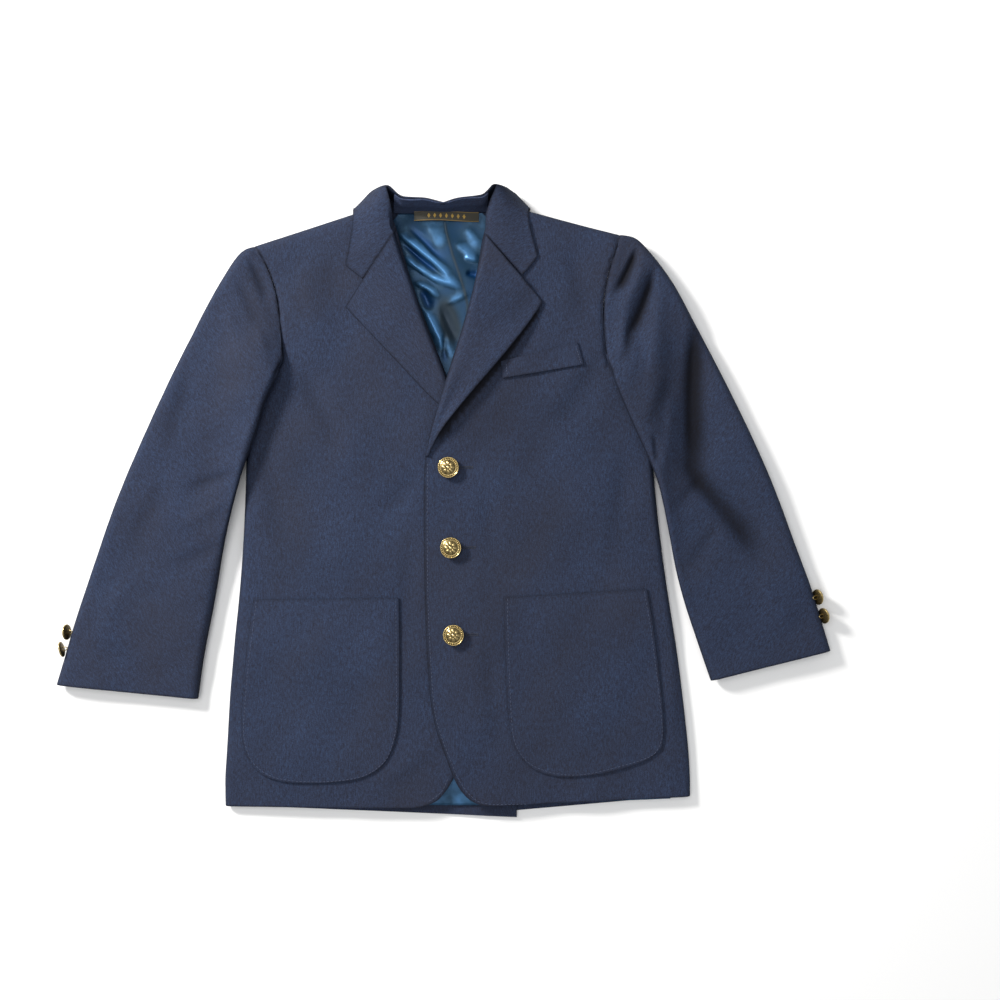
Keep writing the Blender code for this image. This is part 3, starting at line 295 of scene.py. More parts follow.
def stretched(tree, angle, pitches):
    """Object coordinates turned by an angle, with a pitch in metres for each axis."""
    coordinates = tree.nodes.new("ShaderNodeTexCoord")
    turned = tree.nodes.new("ShaderNodeMapping")
    turned.inputs["Rotation"].default_value = (0.0, 0.0, math.radians(angle))
    scaled = tree.nodes.new("ShaderNodeMapping")
    scaled.inputs["Scale"].default_value = tuple(1 / pitch for pitch in pitches)
    tree.links.new(coordinates.outputs["Object"], turned.inputs["Vector"])
    tree.links.new(turned.outputs["Vector"], scaled.inputs["Vector"])
    return scaled.outputs["Vector"]


def three_colours(tree, factor, low, middle, high):
    ramp = tree.nodes.new("ShaderNodeValToRGB")
    stops = ramp.color_ramp.elements
    stops[0].color = (*low, 1.0)
    stops[1].color = (*high, 1.0)
    centre = stops.new(0.5)
    centre.color = (*middle, 1.0)
    tree.links.new(factor, ramp.inputs["Fac"])
    return ramp.outputs["Color"]


def attribute(tree, name):
    node = tree.nodes.new("ShaderNodeAttribute")
    node.attribute_name = name
    return node.outputs["Fac"]


def add_bump(tree, shader, height, strength, distance):
    bump = tree.nodes.new("ShaderNodeBump")
    bump.inputs["Strength"].default_value = strength
    bump.inputs["Distance"].default_value = distance
    tree.links.new(height, bump.inputs["Height"])
    tree.links.new(bump.outputs["Normal"], shader.inputs["Normal"])


def twill(name, angle=0.0, painted_light=1.0):
    """Navy worsted twill: streaks of dark and blue yarn, fine ribs, crossing threads and faded clouds,
    with painted shade towards near black where the piece's attribute marks it.
    """
    material, tree, shader = new_material(name)
    streaks = noise(tree, stretched(tree, angle, STREAK), 1.0, 3.0)
    grain = noise(tree, stretched(tree, angle, (GRAIN_PITCH,) * 3), 1.0, 2.0)
    ribs = wave(tree, stretched(tree, angle + RIB_TURN, (RIB_PITCH,) * 3), "X", 0.8)
    threads = wave(tree, stretched(tree, angle + THREAD_TURN, (THREAD_PITCH,) * 3), "Y", 1.0)
    clouds = noise(tree, stretched(tree, angle + CLOUD_TURN, CLOUD), 1.0, 2.0)
    weave = math_node(tree, "MULTIPLY", ribs, threads)
    yarn = math_node(tree, "ADD", math_node(tree, "MULTIPLY", streaks, STREAK_SHARE),
                     math_node(tree, "MULTIPLY", grain, GRAIN_SHARE))
    yarn = math_node(tree, "ADD", yarn, math_node(tree, "MULTIPLY", weave, WEAVE_SHARE))
    # Painted light: the yarns of a shaded piece are made lighter by this factor
    yarns = [tuple(painted_light * part for part in dye) for dye in (YARN_DARK, YARN_NAVY, YARN_BLUE)]
    colour = three_colours(tree, map_range(tree, yarn, *YARN_RANGE), *yarns)
    shade = map_range(tree, clouds, CLOUD_FROM, CLOUD_TO, 0.0, CLOUD_SHARE)
    colour = mix_colour(tree, shade, colour, SHADE)
    # Painted shade: near black mixed in where creases, cut edges and rolled parts lie in shade
    painted_shade = math_node(tree, "MULTIPLY", attribute(tree, "painted_shade"), PAINTED_SHADE_SHARE)
    colour = mix_colour(tree, painted_shade, colour, PAINTED_SHADE_BLACK)
    tree.links.new(colour, shader.inputs["Base Color"])
    shader.inputs["Roughness"].default_value = 0.78
    shader.inputs["Specular IOR Level"].default_value = 0.10
    shader.inputs["Sheen Weight"].default_value = 0.035
    shader.inputs["Sheen Roughness"].default_value = 0.35
    shader.inputs["Sheen Tint"].default_value = (0.25, 0.50, 1.0, 1.0)
    add_bump(tree, shader, math_node(tree, "ADD", weave, grain), strength=0.6, distance=0.00025)
    return material


# Satin as linear colours: the painted shade of its troughs, its flats, the painted highlight of its ridges
# and its painted shaded part
SATIN_TROUGH_SHADE = (0.003, 0.038, 0.130)
SATIN_GREY = (0.010, 0.040, 0.080)
SATIN_RIDGE_HIGHLIGHT = (0.075, 0.215, 0.440)
SATIN_SHADE = (0.007, 0.015, 0.021)
SATIN_DRIFT = 0.12


def satin(name):
    """Bright blue lining satin with a smooth face and very fine threads, painted lighter on its fold
    ridges and darker in its troughs and shaded parts.
    """
    material, tree, shader = new_material(name)
    fine = plan_coordinates(tree, 3.0, 0.0006)
    threads = wave(tree, fine.outputs["Vector"], "Y", 0.6)
    soft = noise(tree, plan_coordinates(tree, 20.0, 0.012).outputs["Vector"], 1.0, 2.0)
    drift = map_range(tree, soft, 0.3, 0.7, -SATIN_DRIFT, SATIN_DRIFT)
    # Painted light: the fold's height gives the satin shade in its troughs and highlights on its ridges
    level = math_node(tree, "ADD", attribute(tree, "fold"), drift)
    base = three_colours(tree, level, SATIN_TROUGH_SHADE, SATIN_GREY, SATIN_RIDGE_HIGHLIGHT)
    base = mix_colour(tree, attribute(tree, "painted_shade"), base, SATIN_SHADE)
    tree.links.new(base, shader.inputs["Base Color"])
    shader.inputs["Roughness"].default_value = 0.36
    shader.inputs["Metallic"].default_value = 0.45
    shader.inputs["Specular IOR Level"].default_value = 0.35
    shader.inputs["Sheen Weight"].default_value = 0.02
    shader.inputs["Sheen Tint"].default_value = (0.4, 0.7, 1.0, 1.0)
    add_bump(tree, shader, threads, strength=0.12, distance=0.0001)
    return material


BRASS_DARK = (0.040, 0.028, 0.012)
BRASS_LIGHT = (0.50, 0.385, 0.175)


def brass(name):
    """Gilt brass, dark in the hollows that the relief attribute marks."""
    material, tree, shader = new_material(name)
    coordinates = plan_coordinates(tree, 0.0, 0.001)
    stain = noise(tree, coordinates.outputs["Vector"], 1.4, 3.0)
    height = math_node(tree, "ADD", attribute(tree, "relief"),
                       map_range(tree, stain, 0.3, 0.7, -0.25, 0.2))
    colour = mix_colour(tree, map_range(tree, height, 0.15, 0.85), BRASS_DARK, BRASS_LIGHT)
    tree.links.new(colour, shader.inputs["Base Color"])
    tree.links.new(map_range(tree, height, 0.1, 0.9, 0.55, 0.22), shader.inputs["Roughness"])
    shader.inputs["Metallic"].default_value = 1.0
    return material


RIBBON = (0.036, 0.032, 0.020)
GOLD_THREAD = (0.52, 0.32, 0.05)
LOZENGES = 11.0
LOZENGE_SIZE = 0.26
LOZENGE_ROW = 0.30
BORDER_FROM = 0.42
BORDER_STRENGTH = 0.35


def label_cloth(name):
    """Dark woven ribbon with a plain gold border and a row of small gold lozenges."""
    material, tree, shader = new_material(name)
    coordinates = tree.nodes.new("ShaderNodeTexCoord")
    split = tree.nodes.new("ShaderNodeSeparateXYZ")
    tree.links.new(coordinates.outputs["UV"], split.inputs[0])
    repeat = math_node(tree, "FRACT", math_node(tree, "MULTIPLY", split.outputs["X"], LOZENGES), 0.0)
    across = math_node(tree, "ABSOLUTE", math_node(tree, "SUBTRACT", repeat, 0.5), 0.0)
    up = math_node(tree, "ABSOLUTE", math_node(tree, "SUBTRACT", split.outputs["Y"], 0.5), 0.0)
    lozenge = math_node(tree, "LESS_THAN", math_node(tree, "ADD", across, up), LOZENGE_SIZE)
    middle = math_node(tree, "ABSOLUTE", math_node(tree, "SUBTRACT", split.outputs["X"], 0.5), 0.0)
    inside = math_node(tree, "LESS_THAN", middle, LOZENGE_ROW)
    border = math_node(tree, "GREATER_THAN", up, BORDER_FROM)
    gold = math_node(tree, "MAXIMUM", math_node(tree, "MULTIPLY", lozenge, inside),
                     math_node(tree, "MULTIPLY", border, BORDER_STRENGTH))
    threads = wave(tree, plan_coordinates(tree, 0.0, 0.0007).outputs["Vector"], "X", 0.4)
    gold = math_node(tree, "MULTIPLY", gold, map_range(tree, threads, 0.0, 1.0, 0.55, 1.0))
    colour = mix_colour(tree, gold, RIBBON, GOLD_THREAD)
    tree.links.new(colour, shader.inputs["Base Color"])
    shader.inputs["Roughness"].default_value = 0.6
    add_bump(tree, shader, threads, strength=0.4, distance=0.0002)
    return material


NAVY_THREAD = (0.036, 0.047, 0.088)
DARK_THREAD = (0.012, 0.014, 0.024)
TWIST_LIGHT = 1.6


def thread_material(name, colour):
    material, tree, shader = new_material(name)
    twist = noise(tree, plan_coordinates(tree, 0.0, 0.0005).outputs["Vector"], 1.0, 2.0)
    light = tuple(TWIST_LIGHT * part for part in colour)
    colour = mix_colour(tree, twist, colour, light)
    tree.links.new(colour, shader.inputs["Base Color"])
    shader.inputs["Roughness"].default_value = 0.6
    return material


# Each twill is turned to the grain of its panel, in degrees
MATERIALS = {
    "body": twill("twill_body"),
    "right": twill("twill_right_sleeve", -26.0),
    "left": twill("twill_left_sleeve", 28.0),
    "lapel_right": twill("twill_lapel_right", -30.0),
    "lapel_left": twill("twill_lapel_left", 34.0),
    "collar": twill("twill_collar", 60.0),
    "stand": twill("twill_stand", 4.0, STAND_PAINTED_LIGHT),
    "lining": satin("satin"),
    "brass": brass("gilt_brass"),
    "label": label_cloth("label_ribbon"),
    "thread": thread_material("navy_thread", NAVY_THREAD),
    "hole": thread_material("buttonhole_thread", DARK_THREAD),
}

# An edge sharper than SHARP is a cut edge, and one that turns by more than CORNER has a corner there
SHARP = math.radians(48)
CORNER = math.radians(32)
LEVEL_EDGE = 1.2
JOINED_FACES = math.radians(35)
JOINED_SHAPES = math.radians(60)


def refined(node, levels, rim):
    """Fine mesh on a CAD node's form: its quads are subdivided, with its rim kept and then rounded."""
    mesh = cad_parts[node].data.copy()
    work = bmesh.new()
    work.from_mesh(mesh)
    bmesh.ops.remove_doubles(work, verts=work.verts, dist=1e-6)
    bmesh.ops.recalc_face_normals(work, faces=work.faces)
    bmesh.ops.join_triangles(work, faces=work.faces, angle_face_threshold=JOINED_FACES,
                             angle_shape_threshold=JOINED_SHAPES)
    crease = work.edges.layers.float.new("crease_edge")
    corner = work.verts.layers.float.new("crease_vert")
    for edge in work.edges:
        if edge.calc_face_angle(0.0) > SHARP:
            edge[crease] = 1.0
    for vertex in work.verts:
        rims = [edge.other_vert(vertex).co - vertex.co for edge in vertex.link_edges if edge[crease]]
        # A corner of the cut: none of its rim edges runs on in another
        level = [rim.xy for rim in rims if rim.xy.length > LEVEL_EDGE * MM]
        if len(level) == 2 and level[0].angle(-level[1]) > CORNER:
            vertex[corner] = 1.0
    work.to_mesh(mesh)
    work.free()
    holder = bpy.data.objects.new(node + "_work", mesh)
    bpy.context.scene.collection.objects.link(holder)
    subdivision = holder.modifiers.new("subdivision", "SUBSURF")
    subdivision.levels = levels
    subdivision.render_levels = levels
    if rim:
        bevel = holder.modifiers.new("rim", "BEVEL")
        bevel.width = rim * MM
        bevel.segments = 2
        bevel.limit_method = "ANGLE"
        bevel.angle_limit = SHARP
        bevel.use_clamp_overlap = True
    graph = bpy.context.evaluated_depsgraph_get()
    result = bpy.data.meshes.new_from_object(holder.evaluated_get(graph))
    bpy.data.objects.remove(holder)
    return result


def points_of(mesh):
    """Points of a mesh in millimetres, a row each."""
    points = np.empty(len(mesh.vertices) * 3, np.float32)
    mesh.vertices.foreach_get("co", points)
    return points.reshape(-1, 3).astype(float) / MM


def put_points(mesh, points):
    mesh.vertices.foreach_set("co", (points * MM).astype(np.float32).ravel())
    mesh.update()


def set_attribute(mesh, name, values):
    """Number from 0 to 1 at each point of a mesh, which its material reads."""
    layer = mesh.attributes.get(name) or mesh.attributes.new(name, "FLOAT", "POINT")
    layer.data.foreach_set("value", np.clip(values, 0.0, 1.0).astype(np.float32))


# Roll line of the wearer's left lapel, and its free edge, as plan points from the break point up
LEFT_ROLL = ((-16.9, 44.5), (3.9, 119.0), (13.9, 150.8), (21.3, 176.0), (28.3, 201.0), (39.8, 253.5))
LEFT_EDGE = ((-13.5, 44.3), (4.3, 76.0), (38.3, 117.0), (59.3, 142.0), (83.3, 173.5), (94.0, 190.4))
LEFT_EDGE_LIFT = 4.6
EDGE_LIFT_FROM_Y = (46.0, 84.0)
EDGE_LIFT_TO_Y = (150.0, 196.0)
# Shade on the front beside that edge: its depth, half width, shift from the edge and ends
LAPEL_SHADE = 1.1
LAPEL_SHADE_WIDTH = 3.6
LAPEL_SHADE_SHIFT = 0.6
LAPEL_SHADE_FROM_Y = (48.0, 70.0)
LAPEL_SHADE_TO_Y = (176.0, 190.0)
# It narrows upwards to this share of its width, between these two y
LAPEL_SHADE_NARROW = 0.55
LAPEL_SHADE_NARROWS = (170.0, 120.0)
# A point lies on a cut edge where the upward part of its normal is below this
RIM_NORMAL = 0.4
# Depth and width of the painted shade line along a cut edge, and the depth of the painted shade where a
# piece rolls away from the light
RIM_SHADE = 0.75
FAINT_RIMS = {"pocket_right": 0.45, "pocket_left": 0.45, "breast_welt": 0.25}
RIM_WIDTH = 1.4
ROLL_SHADE = 0.8


def interpolated(y, table):
    return np.interp(y, [point[1] for point in table], [point[0] for point in table])


def rim_distances(mesh):
    """Distance of each point from the nearest cut edge of its piece, in millimetres."""
    rim = [vertex.co for vertex in mesh.vertices if abs(vertex.normal.z) < RIM_NORMAL]
    tree = KDTree(len(rim))
    for k, place in enumerate(rim):
        tree.insert(place, k)
    tree.balance()
    return np.array([tree.find(vertex.co)[2] for vertex in mesh.vertices]) / MM


def drape(group, mesh, points):
    """Moves a piece's points by its group's creases, more the higher they lie, and paints shade into their
    troughs.
    """
    x, y, z = points.T
    free = smooth(*FREE_HEIGHTS, z)
    creases = crease_height(group, x, y)
    points[:, 2] += free * (creases + unevenness(x, y, len(group)))
    # Painted shade in the crease troughs, full at HOLLOW_DEPTH below the cloth
    set_attribute(mesh, "painted_shade", smooth(0.0, HOLLOW_DEPTH, -creases))
    return points


def shade_rim(mesh, depth):
    """Paints shade on a piece: a fine dark line along its edge, and darker colour where it rolls away from
    the light.
    """
    level = np.empty(len(mesh.vertices), np.float32)
    mesh.attributes["painted_shade"].data.foreach_get("value", level)
    # Painted shade: a thin dark line along the cut edge, and more shade the steeper the cloth turns
    line = depth * np.exp(-((rim_distances(mesh) / RIM_WIDTH) ** 2))
    rolled = ROLL_SHADE * np.array([1.0 - abs(vertex.normal.z) for vertex in mesh.vertices])
    set_attribute(mesh, "painted_shade", np.maximum(level, np.maximum(line, rolled)))


def shade_under_lapel(mesh, points):
    """The front is in deep shade along the overlapping lapel's free edge."""
    x, y = points[:, 0], points[:, 1]
    edge = interpolated(y, LEFT_EDGE)
    slant = np.gradient(np.array(LEFT_EDGE), axis=0)
    steep = np.interp(y, [point[1] for point in LEFT_EDGE], slant[:, 1] / np.hypot(*slant.T))
    off = (x - edge) * steep - LAPEL_SHADE_SHIFT
    along = smooth(*LAPEL_SHADE_FROM_Y, y) * (1.0 - smooth(*LAPEL_SHADE_TO_Y, y))
    creases = smooth(0.0, HOLLOW_DEPTH, -crease_height("body", x, y))
    widening = (1.0 - LAPEL_SHADE_NARROW) * smooth(*LAPEL_SHADE_NARROWS, y)
    reach = LAPEL_SHADE_WIDTH * (LAPEL_SHADE_NARROW + widening)
    shade = LAPEL_SHADE * along * (1.0 - smooth(reach, 1.7 * reach, np.abs(off)))
    set_attribute(mesh, "painted_shade", np.maximum(creases, shade))


def lift_lapel_edge(points):
    """The overlapping lapel's lower free edge stands off the front, with a dark gap under it."""
    x, y, z = points.T
    roll = interpolated(y, LEFT_ROLL)
    share = (x - roll) / np.maximum(interpolated(y, LEFT_EDGE) - roll, 1.0)
    along = smooth(*EDGE_LIFT_FROM_Y, y) * (1.0 - smooth(*EDGE_LIFT_TO_Y, y))
    points[:, 2] = z + LEFT_EDGE_LIFT * smooth(0.35, 1.0, share) * along
    return points


# Each gorge seam: two points on the collar's side of it, and the way to the lapel
Gorge = namedtuple("Gorge", "x0 y0 x1 y1 closing")
GORGES = {
    "collar_fall_left": Gorge(39.9, 255.2, 75.6, 216.0, (-0.74, -0.67)),
    "collar_fall_right": Gorge(-44.6, 257.8, -76.4, 212.1, (0.82, -0.57)),
}
GORGE_CLOSING = 0.95
# The two falls meet at the centre back, and each closes this much of the gap
FALLS_MEET = 0.6
FALLS_CLOSING = 0.32
# How much lower on the plan the neck's band lies than its solid, and over which y and half widths
NECK_DROP = 3.4
NECK_BAND_Y = (272.0, 283.0)
NECK_HALF_WIDTH = (36.0, 50.0)


def settle_collar(node, points):
    """Closes the gorge seam and lays the collar's band behind the neck as low as in the photo."""
    x, y, z = points.T
    if node in GORGES:
        gorge = GORGES[node]
        dx, dy = gorge.closing
        away = -((x - gorge.x0) * dx + (y - gorge.y0) * dy)
        close = GORGE_CLOSING * (1.0 - smooth(0.0, 4.0, away)) * (y < 262.0)
        points[:, 0] += dx * close
        points[:, 1] += dy * close
        centre_gap = FALLS_CLOSING * (1.0 - smooth(0.4, 3.0, np.abs(x - FALLS_MEET)))
        points[:, 0] += np.where(x > FALLS_MEET, -centre_gap, centre_gap) * (y > 230.0)
    if node == "collar_stand":
        foot = 1.0 - smooth(5.0, 18.0, z)
        head = smooth(18.0, 28.5, z)
        points[:, 1] += 1.9 * head - 3.6 * foot
        points[:, 2] += 1.7 * head - 0.2 * foot
    band = 1.0 - smooth(*NECK_HALF_WIDTH, np.abs(x))
    if node != "collar_stand":
        band *= smooth(*NECK_BAND_Y, y)
    points[:, 1] -= NECK_DROP * band * smooth(6.0, 20.0, z)
    return points


def armhole_line(side):
    """Plan y and x of the body's edge at one armhole, from the front's own outline."""
    points = points_of(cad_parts["front_right" if side < 0 else "front_left"].data)
    ys = np.arange(130.0, 246.0, 4.0)
    xs = []
    for y in ys:
        row = points[np.abs(points[:, 1] - y) < 7.0]
        xs.append(row[np.argmax(side * row[:, 0]), 0])
    return ys, np.array(xs)


# The armhole seam: how far each edge moves to it and dips into it, its width, and the y where it starts
SEAM_CLOSING = 0.8
SEAM_DIP = 1.3
SEAM_WIDTH = 2.6
SEAM_FROM_Y = (124.0, 132.0)
# Near the shoulder the body's edge moves out too
SHOULDER_Y = (226.0, 238.0)
UPPER_LAYER = (9.0, 13.0)


def close_armhole(side, sleeve, points):
    """Draws the sleeve's and the body's edges together into one soft seam."""
    x, y, z = points.T
    ys, xs = armhole_line(side)
    off = side * (x - np.interp(y, ys, xs))
    near = smooth(*SEAM_FROM_Y, y) * np.exp(-((off / SEAM_WIDTH) ** 2))
    if sleeve:
        points[:, 0] -= side * SEAM_CLOSING * near
    else:
        points[:, 0] += side * SEAM_CLOSING * near * smooth(*SHOULDER_Y, y)
    points[:, 2] -= SEAM_DIP * near * smooth(*UPPER_LAYER, z)
    return points


SMOOTH_UP_TO = math.radians(65)


def mesh_of(work, name):
    mesh = bpy.data.meshes.new(name)
    work.to_mesh(mesh)
    work.free()
    return mesh


def add_piece(name, mesh, material, replaced=()):
    """Puts a finished mesh in the scene, on the garment's one body."""
    mesh.materials.clear()
    mesh.materials.append(MATERIALS[material])
    mesh.shade_smooth()
    mesh.set_sharp_from_angle(angle=SMOOTH_UP_TO)
    obj = bpy.data.objects.new(name, mesh)
    bpy.context.scene.collection.objects.link(obj)
    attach(obj, "root")
    if replaced:
        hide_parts(*replaced)
    return obj


# Each cloth piece: its creases, its material, its levels of subdivision and the roundness of its edge
Dressing = namedtuple("Dressing", "node group material levels rim")
DRESSINGS = (
    Dressing("front_right", "body", "body", 3, 0.5),
    Dressing("front_left", "body", "body", 3, 0.5),
    Dressing("back_right", "back", "body", 2, 0.4),
    Dressing("back_left", "back", "body", 2, 0.4),
    Dressing("sleeve_right_top", "right", "right", 3, 0.5),
    Dressing("sleeve_left_top", "left", "left", 3, 0.5),
    Dressing("sleeve_right_under", "under", "right", 2, 0.4),
    Dressing("sleeve_left_under", "under", "left", 2, 0.4),
    Dressing("lapel_right", "body", "lapel_right", 3, 1.0),
    Dressing("lapel_left", "body", "lapel_left", 3, 1.0),
    Dressing("collar_fall_right", "collar", "collar", 3, 0.85),
    Dressing("collar_fall_left", "collar", "collar", 3, 0.85),
    Dressing("collar_stand", "collar", "stand", 2, 0.4),
    Dressing("pocket_right", "body", "body", 3, 0.5),
    Dressing("pocket_left", "body", "body", 3, 0.5),
    Dressing("breast_welt", "body", "body", 3, 0.5),
)


def add_cloth():
    """Every navy cloth piece, as a fine shell on its solid's form with its creases."""
    made = {}
    for row in DRESSINGS:
        mesh = refined(row.node, row.levels, row.rim)
        points = points_of(mesh)
        if row.group in ("body", "left", "right"):
            points = drape(row.group, mesh, points)
        if row.node == "lapel_left":
            points = lift_lapel_edge(points)
        if row.group == "collar":
            points = settle_collar(row.node, points)
        if "sleeve" in row.node or "front" in row.node:
            points = close_armhole(-1 if "right" in row.node else 1, "sleeve" in row.node, points)
        if row.node == "front_left":
            shade_under_lapel(mesh, points)
        put_points(mesh, points)
        # Painted shade along cut edges and rolled parts; the collar starts with none from creases
        if row.group not in ("back", "under") and row.node != "collar_stand":
            if row.group == "collar":
                set_attribute(mesh, "painted_shade", np.zeros(len(points)))
            shade_rim(mesh, FAINT_RIMS.get(row.node, RIM_SHADE))
        made[row.node] = add_piece("cloth_" + row.node, mesh, row.material, [row.node])
    return made


LINING_LEVELS = 4
# No fold takes the lining below this height, where the back lies under it
LINING_FLOOR = 2.0


def add_lining():
    """Satin lining of the back: its folds move it, and their height paints its blue, with painted
    highlights on the ridges and painted shade in the troughs.
    """
    mesh = refined("back_lining", LINING_LEVELS, 0.0)
    points = points_of(mesh)
    x, y, z = points.T
    shown = smooth(*LINING_FROM_Y, y) * (1.0 - smooth(*LINING_TO_Y, y))
    lift = crease_height("lining", x, y) * shown
    beyond = x - interpolated(y, PLEAT[::-1])
    lift += PLEAT_STEP * shown * (smooth(-0.8, 0.4, beyond) - smooth(0.4, PLEAT_SPREAD, beyond))
    points[:, 2] = np.maximum(z + lift, np.minimum(z, LINING_FLOOR))
    put_points(mesh, points)
    # Painted light and shade of the satin, from each fold's height
    low, high = SATIN_RANGE
    # Painted highlight: brighter blue towards the hem
    hem_highlight = HEM_PAINTED_HIGHLIGHT * (1.0 - smooth(*HEM_Y, y))
    set_attribute(mesh, "fold", (crease_height("lining", x, y) - low) / (high - low) + hem_highlight)
    # Painted shade: a dark line along the pleat and a grey shaded patch in the neck
    pleat_shade = SATIN_SHADE_LEVEL * np.exp(-((beyond / 1.6) ** 2))
    centre_x, centre_y, half_x, half_y = SHADED_SATIN
    away = np.hypot((x - centre_x - 0.25 * (centre_y - y)) / half_x, (y - centre_y) / half_y)
    patch_shade = SATIN_SHADE_LEVEL * (1.0 - smooth(0.6, 1.25, away))
    set_attribute(mesh, "painted_shade", np.maximum(pleat_shade, patch_shade) * shown)
    return add_piece("satin_lining", mesh, "lining", ["back_lining"])


# How much wider and higher the ribbon lies than its solid, and its thickness, in metres
LABEL_WIDER = 0.005
LABEL_UP = 0.0026
LABEL_THICKNESS = 0.0007
LABEL_COLUMNS = 48
LABEL_ROWS = 10


def ribbon_point(low, high, u, v, top):
    """Point of the curled ribbon at a share of its width and of its height."""
    x = low.x + (high.x - low.x + LABEL_WIDER) * u
    y = low.y + LABEL_UP + (high.y - low.y) * v + 0.0006 * math.sin(5 * u)
    curl = 0.0012 * math.sin(math.pi * u * 1.3 + 0.4) - 0.0006 * (1 - v)
    return x, y, high.z + curl - 0.0008 - (0.0 if top else LABEL_THICKNESS)


def add_label():
    """Woven ribbon on the lining under the collar stand, with a coordinate along and across it."""
    low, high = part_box("neck_label")
    work = bmesh.new()
    uv = work.loops.layers.uv.new("UVMap")
    places = [(i, j) for j in range(LABEL_ROWS + 1) for i in range(LABEL_COLUMNS + 1)]
    front, back = {}, {}
    for face, top in ((front, True), (back, False)):
        for i, j in places:
            spot = ribbon_point(low, high, i / LABEL_COLUMNS, j / LABEL_ROWS, top)
            face[i, j] = work.verts.new(spot)
    faces = []
    for i in range(LABEL_COLUMNS):
        for j in range(LABEL_ROWS):
            corners = ((i, j), (i + 1, j), (i + 1, j + 1), (i, j + 1))
            faces.append(([front[c] for c in corners], corners))
            faces.append(([back[c] for c in reversed(corners)], tuple(reversed(corners))))
    border = [(i, 0) for i in range(LABEL_COLUMNS)]
    border += [(LABEL_COLUMNS, j) for j in range(LABEL_ROWS)]
    border += [(i, LABEL_ROWS) for i in range(LABEL_COLUMNS, 0, -1)]
    border += [(0, j) for j in range(LABEL_ROWS, 0, -1)]
    for a, b in zip(border, border[1:] + border[:1]):
        faces.append(([front[b], front[a], back[a], back[b]], (b, a, a, b)))
    for verts, corners in faces:
        face = work.faces.new(verts)
        for loop, (i, j) in zip(face.loops, corners):
            loop[uv].uv = (i / LABEL_COLUMNS, j / LABEL_ROWS)
    mesh = mesh_of(work, "neck_ribbon")
    return add_piece("neck_ribbon", mesh, "label", ["neck_label"])


RAY_FROM = 0.2


def tree_of(obj):
    """Search tree of a piece's faces, for surface_at."""
    mesh = obj.data
    mesh.calc_loop_triangles()
    points = [vertex.co.copy() for vertex in mesh.vertices]
    return BVHTree.FromPolygons(points, [list(t.vertices) for t in mesh.loop_triangles])


def surface_at(trees, x, y):
    """Highest point of the pieces at a plan point in millimetres, with the cloth's normal there."""
    best = None
    for tree in trees:
        hit, normal, _, _ = tree.ray_cast(Vector((x * MM, y * MM, RAY_FROM)), Vector((0, 0, -1)))
        if hit is not None and (best is None or hit.z > best[0].z):
            best = (hit, normal)
    return best


def along(points, pitch):
    """Evenly spaced (x, y, angle) along a polyline of plan points, in millimetres."""
    points = np.array(points, float)
    steps = np.hypot(*np.diff(points, axis=0).T)
    length = np.concatenate([[0.0], np.cumsum(steps)])
    count = max(2, int(length[-1] / pitch))
    at = (np.arange(count) + 0.5) * length[-1] / count
    x = np.interp(at, length, points[:, 0])
    y = np.interp(at, length, points[:, 1])
    ahead_x = np.interp(at + 1.0, length, points[:, 0])
    ahead_y = np.interp(at + 1.0, length, points[:, 1])
    behind_x = np.interp(at - 1.0, length, points[:, 0])
    behind_y = np.interp(at - 1.0, length, points[:, 1])
    return zip(x, y, np.arctan2(ahead_y - behind_y, ahead_x - behind_x))


def rounded_path(points, steps=8):
    """Catmull-Rom path through plan points."""
    points = np.array(points, float)
    padded = np.vstack([2 * points[0] - points[1], points, 2 * points[-1] - points[-2]])
    path = []
    for k in range(len(points) - 1):
        a, b, c, d = padded[k : k + 4]
        for t in np.arange(steps) / steps:
            path.append((2 * b + (c - a) * t + (2 * a - 5 * b + 4 * c - d) * t**2
                         + (3 * b - a - 3 * c + d) * t**3) / 2)
    path.append(points[-1])
    return path


STITCH_SIDES = 5
# A stitch's ends are thinner than its middle
STITCH_TAPER = 0.55
STITCH_STAND = 0.18
STITCH_SUNK = 0.10


def skin(work, rings):
    """Faces between rings of points, with a face over each end."""
    for a, b in zip(rings, rings[1:]):
        for k in range(len(a)):
            m = (k + 1) % len(a)
            work.faces.new((a[k], a[m], b[m], b[k]))
    work.faces.new(reversed(rings[0]))
    work.faces.new(rings[-1])


def add_stitch(work, place, normal, angle, length):
    """One short thread lying on the cloth at a place, its way being an angle on the plan."""
    forward = Vector((math.cos(angle), math.sin(angle), 0.0))
    forward = (forward - normal * forward.dot(normal)).normalized()
    side = normal.cross(forward)
    rings = []
    for share in (-1.0, 0.0, 1.0):
        swell = 1.0 - STITCH_TAPER * abs(share)
        centre = place + forward * share * length * 0.5 * MM
        centre += normal * (STITCH_STAND * swell - STITCH_SUNK) * MM
        ring = []
        for k in range(STITCH_SIDES):
            turn = math.tau * k / STITCH_SIDES
            offset = side * math.cos(turn) + normal * math.sin(turn)
            ring.append(work.verts.new(centre + offset * STITCH_RADIUS * swell * MM))
        rings.append(ring)
    skin(work, rings)


def add_stitches(name, paths, trees, pitch=STITCH_PITCH, length=STITCH_LENGTH):
    """Short raised stitches along plan paths, each lying on the cloth under it."""
    work = bmesh.new()
    for path in paths:
        for x, y, angle in along(path, pitch):
            found = surface_at(trees, x, y)
            if found is not None:
                add_stitch(work, *found, angle, length)
    bmesh.ops.recalc_face_normals(work, faces=work.faces)
    return add_piece(name, mesh_of(work, name), "thread")


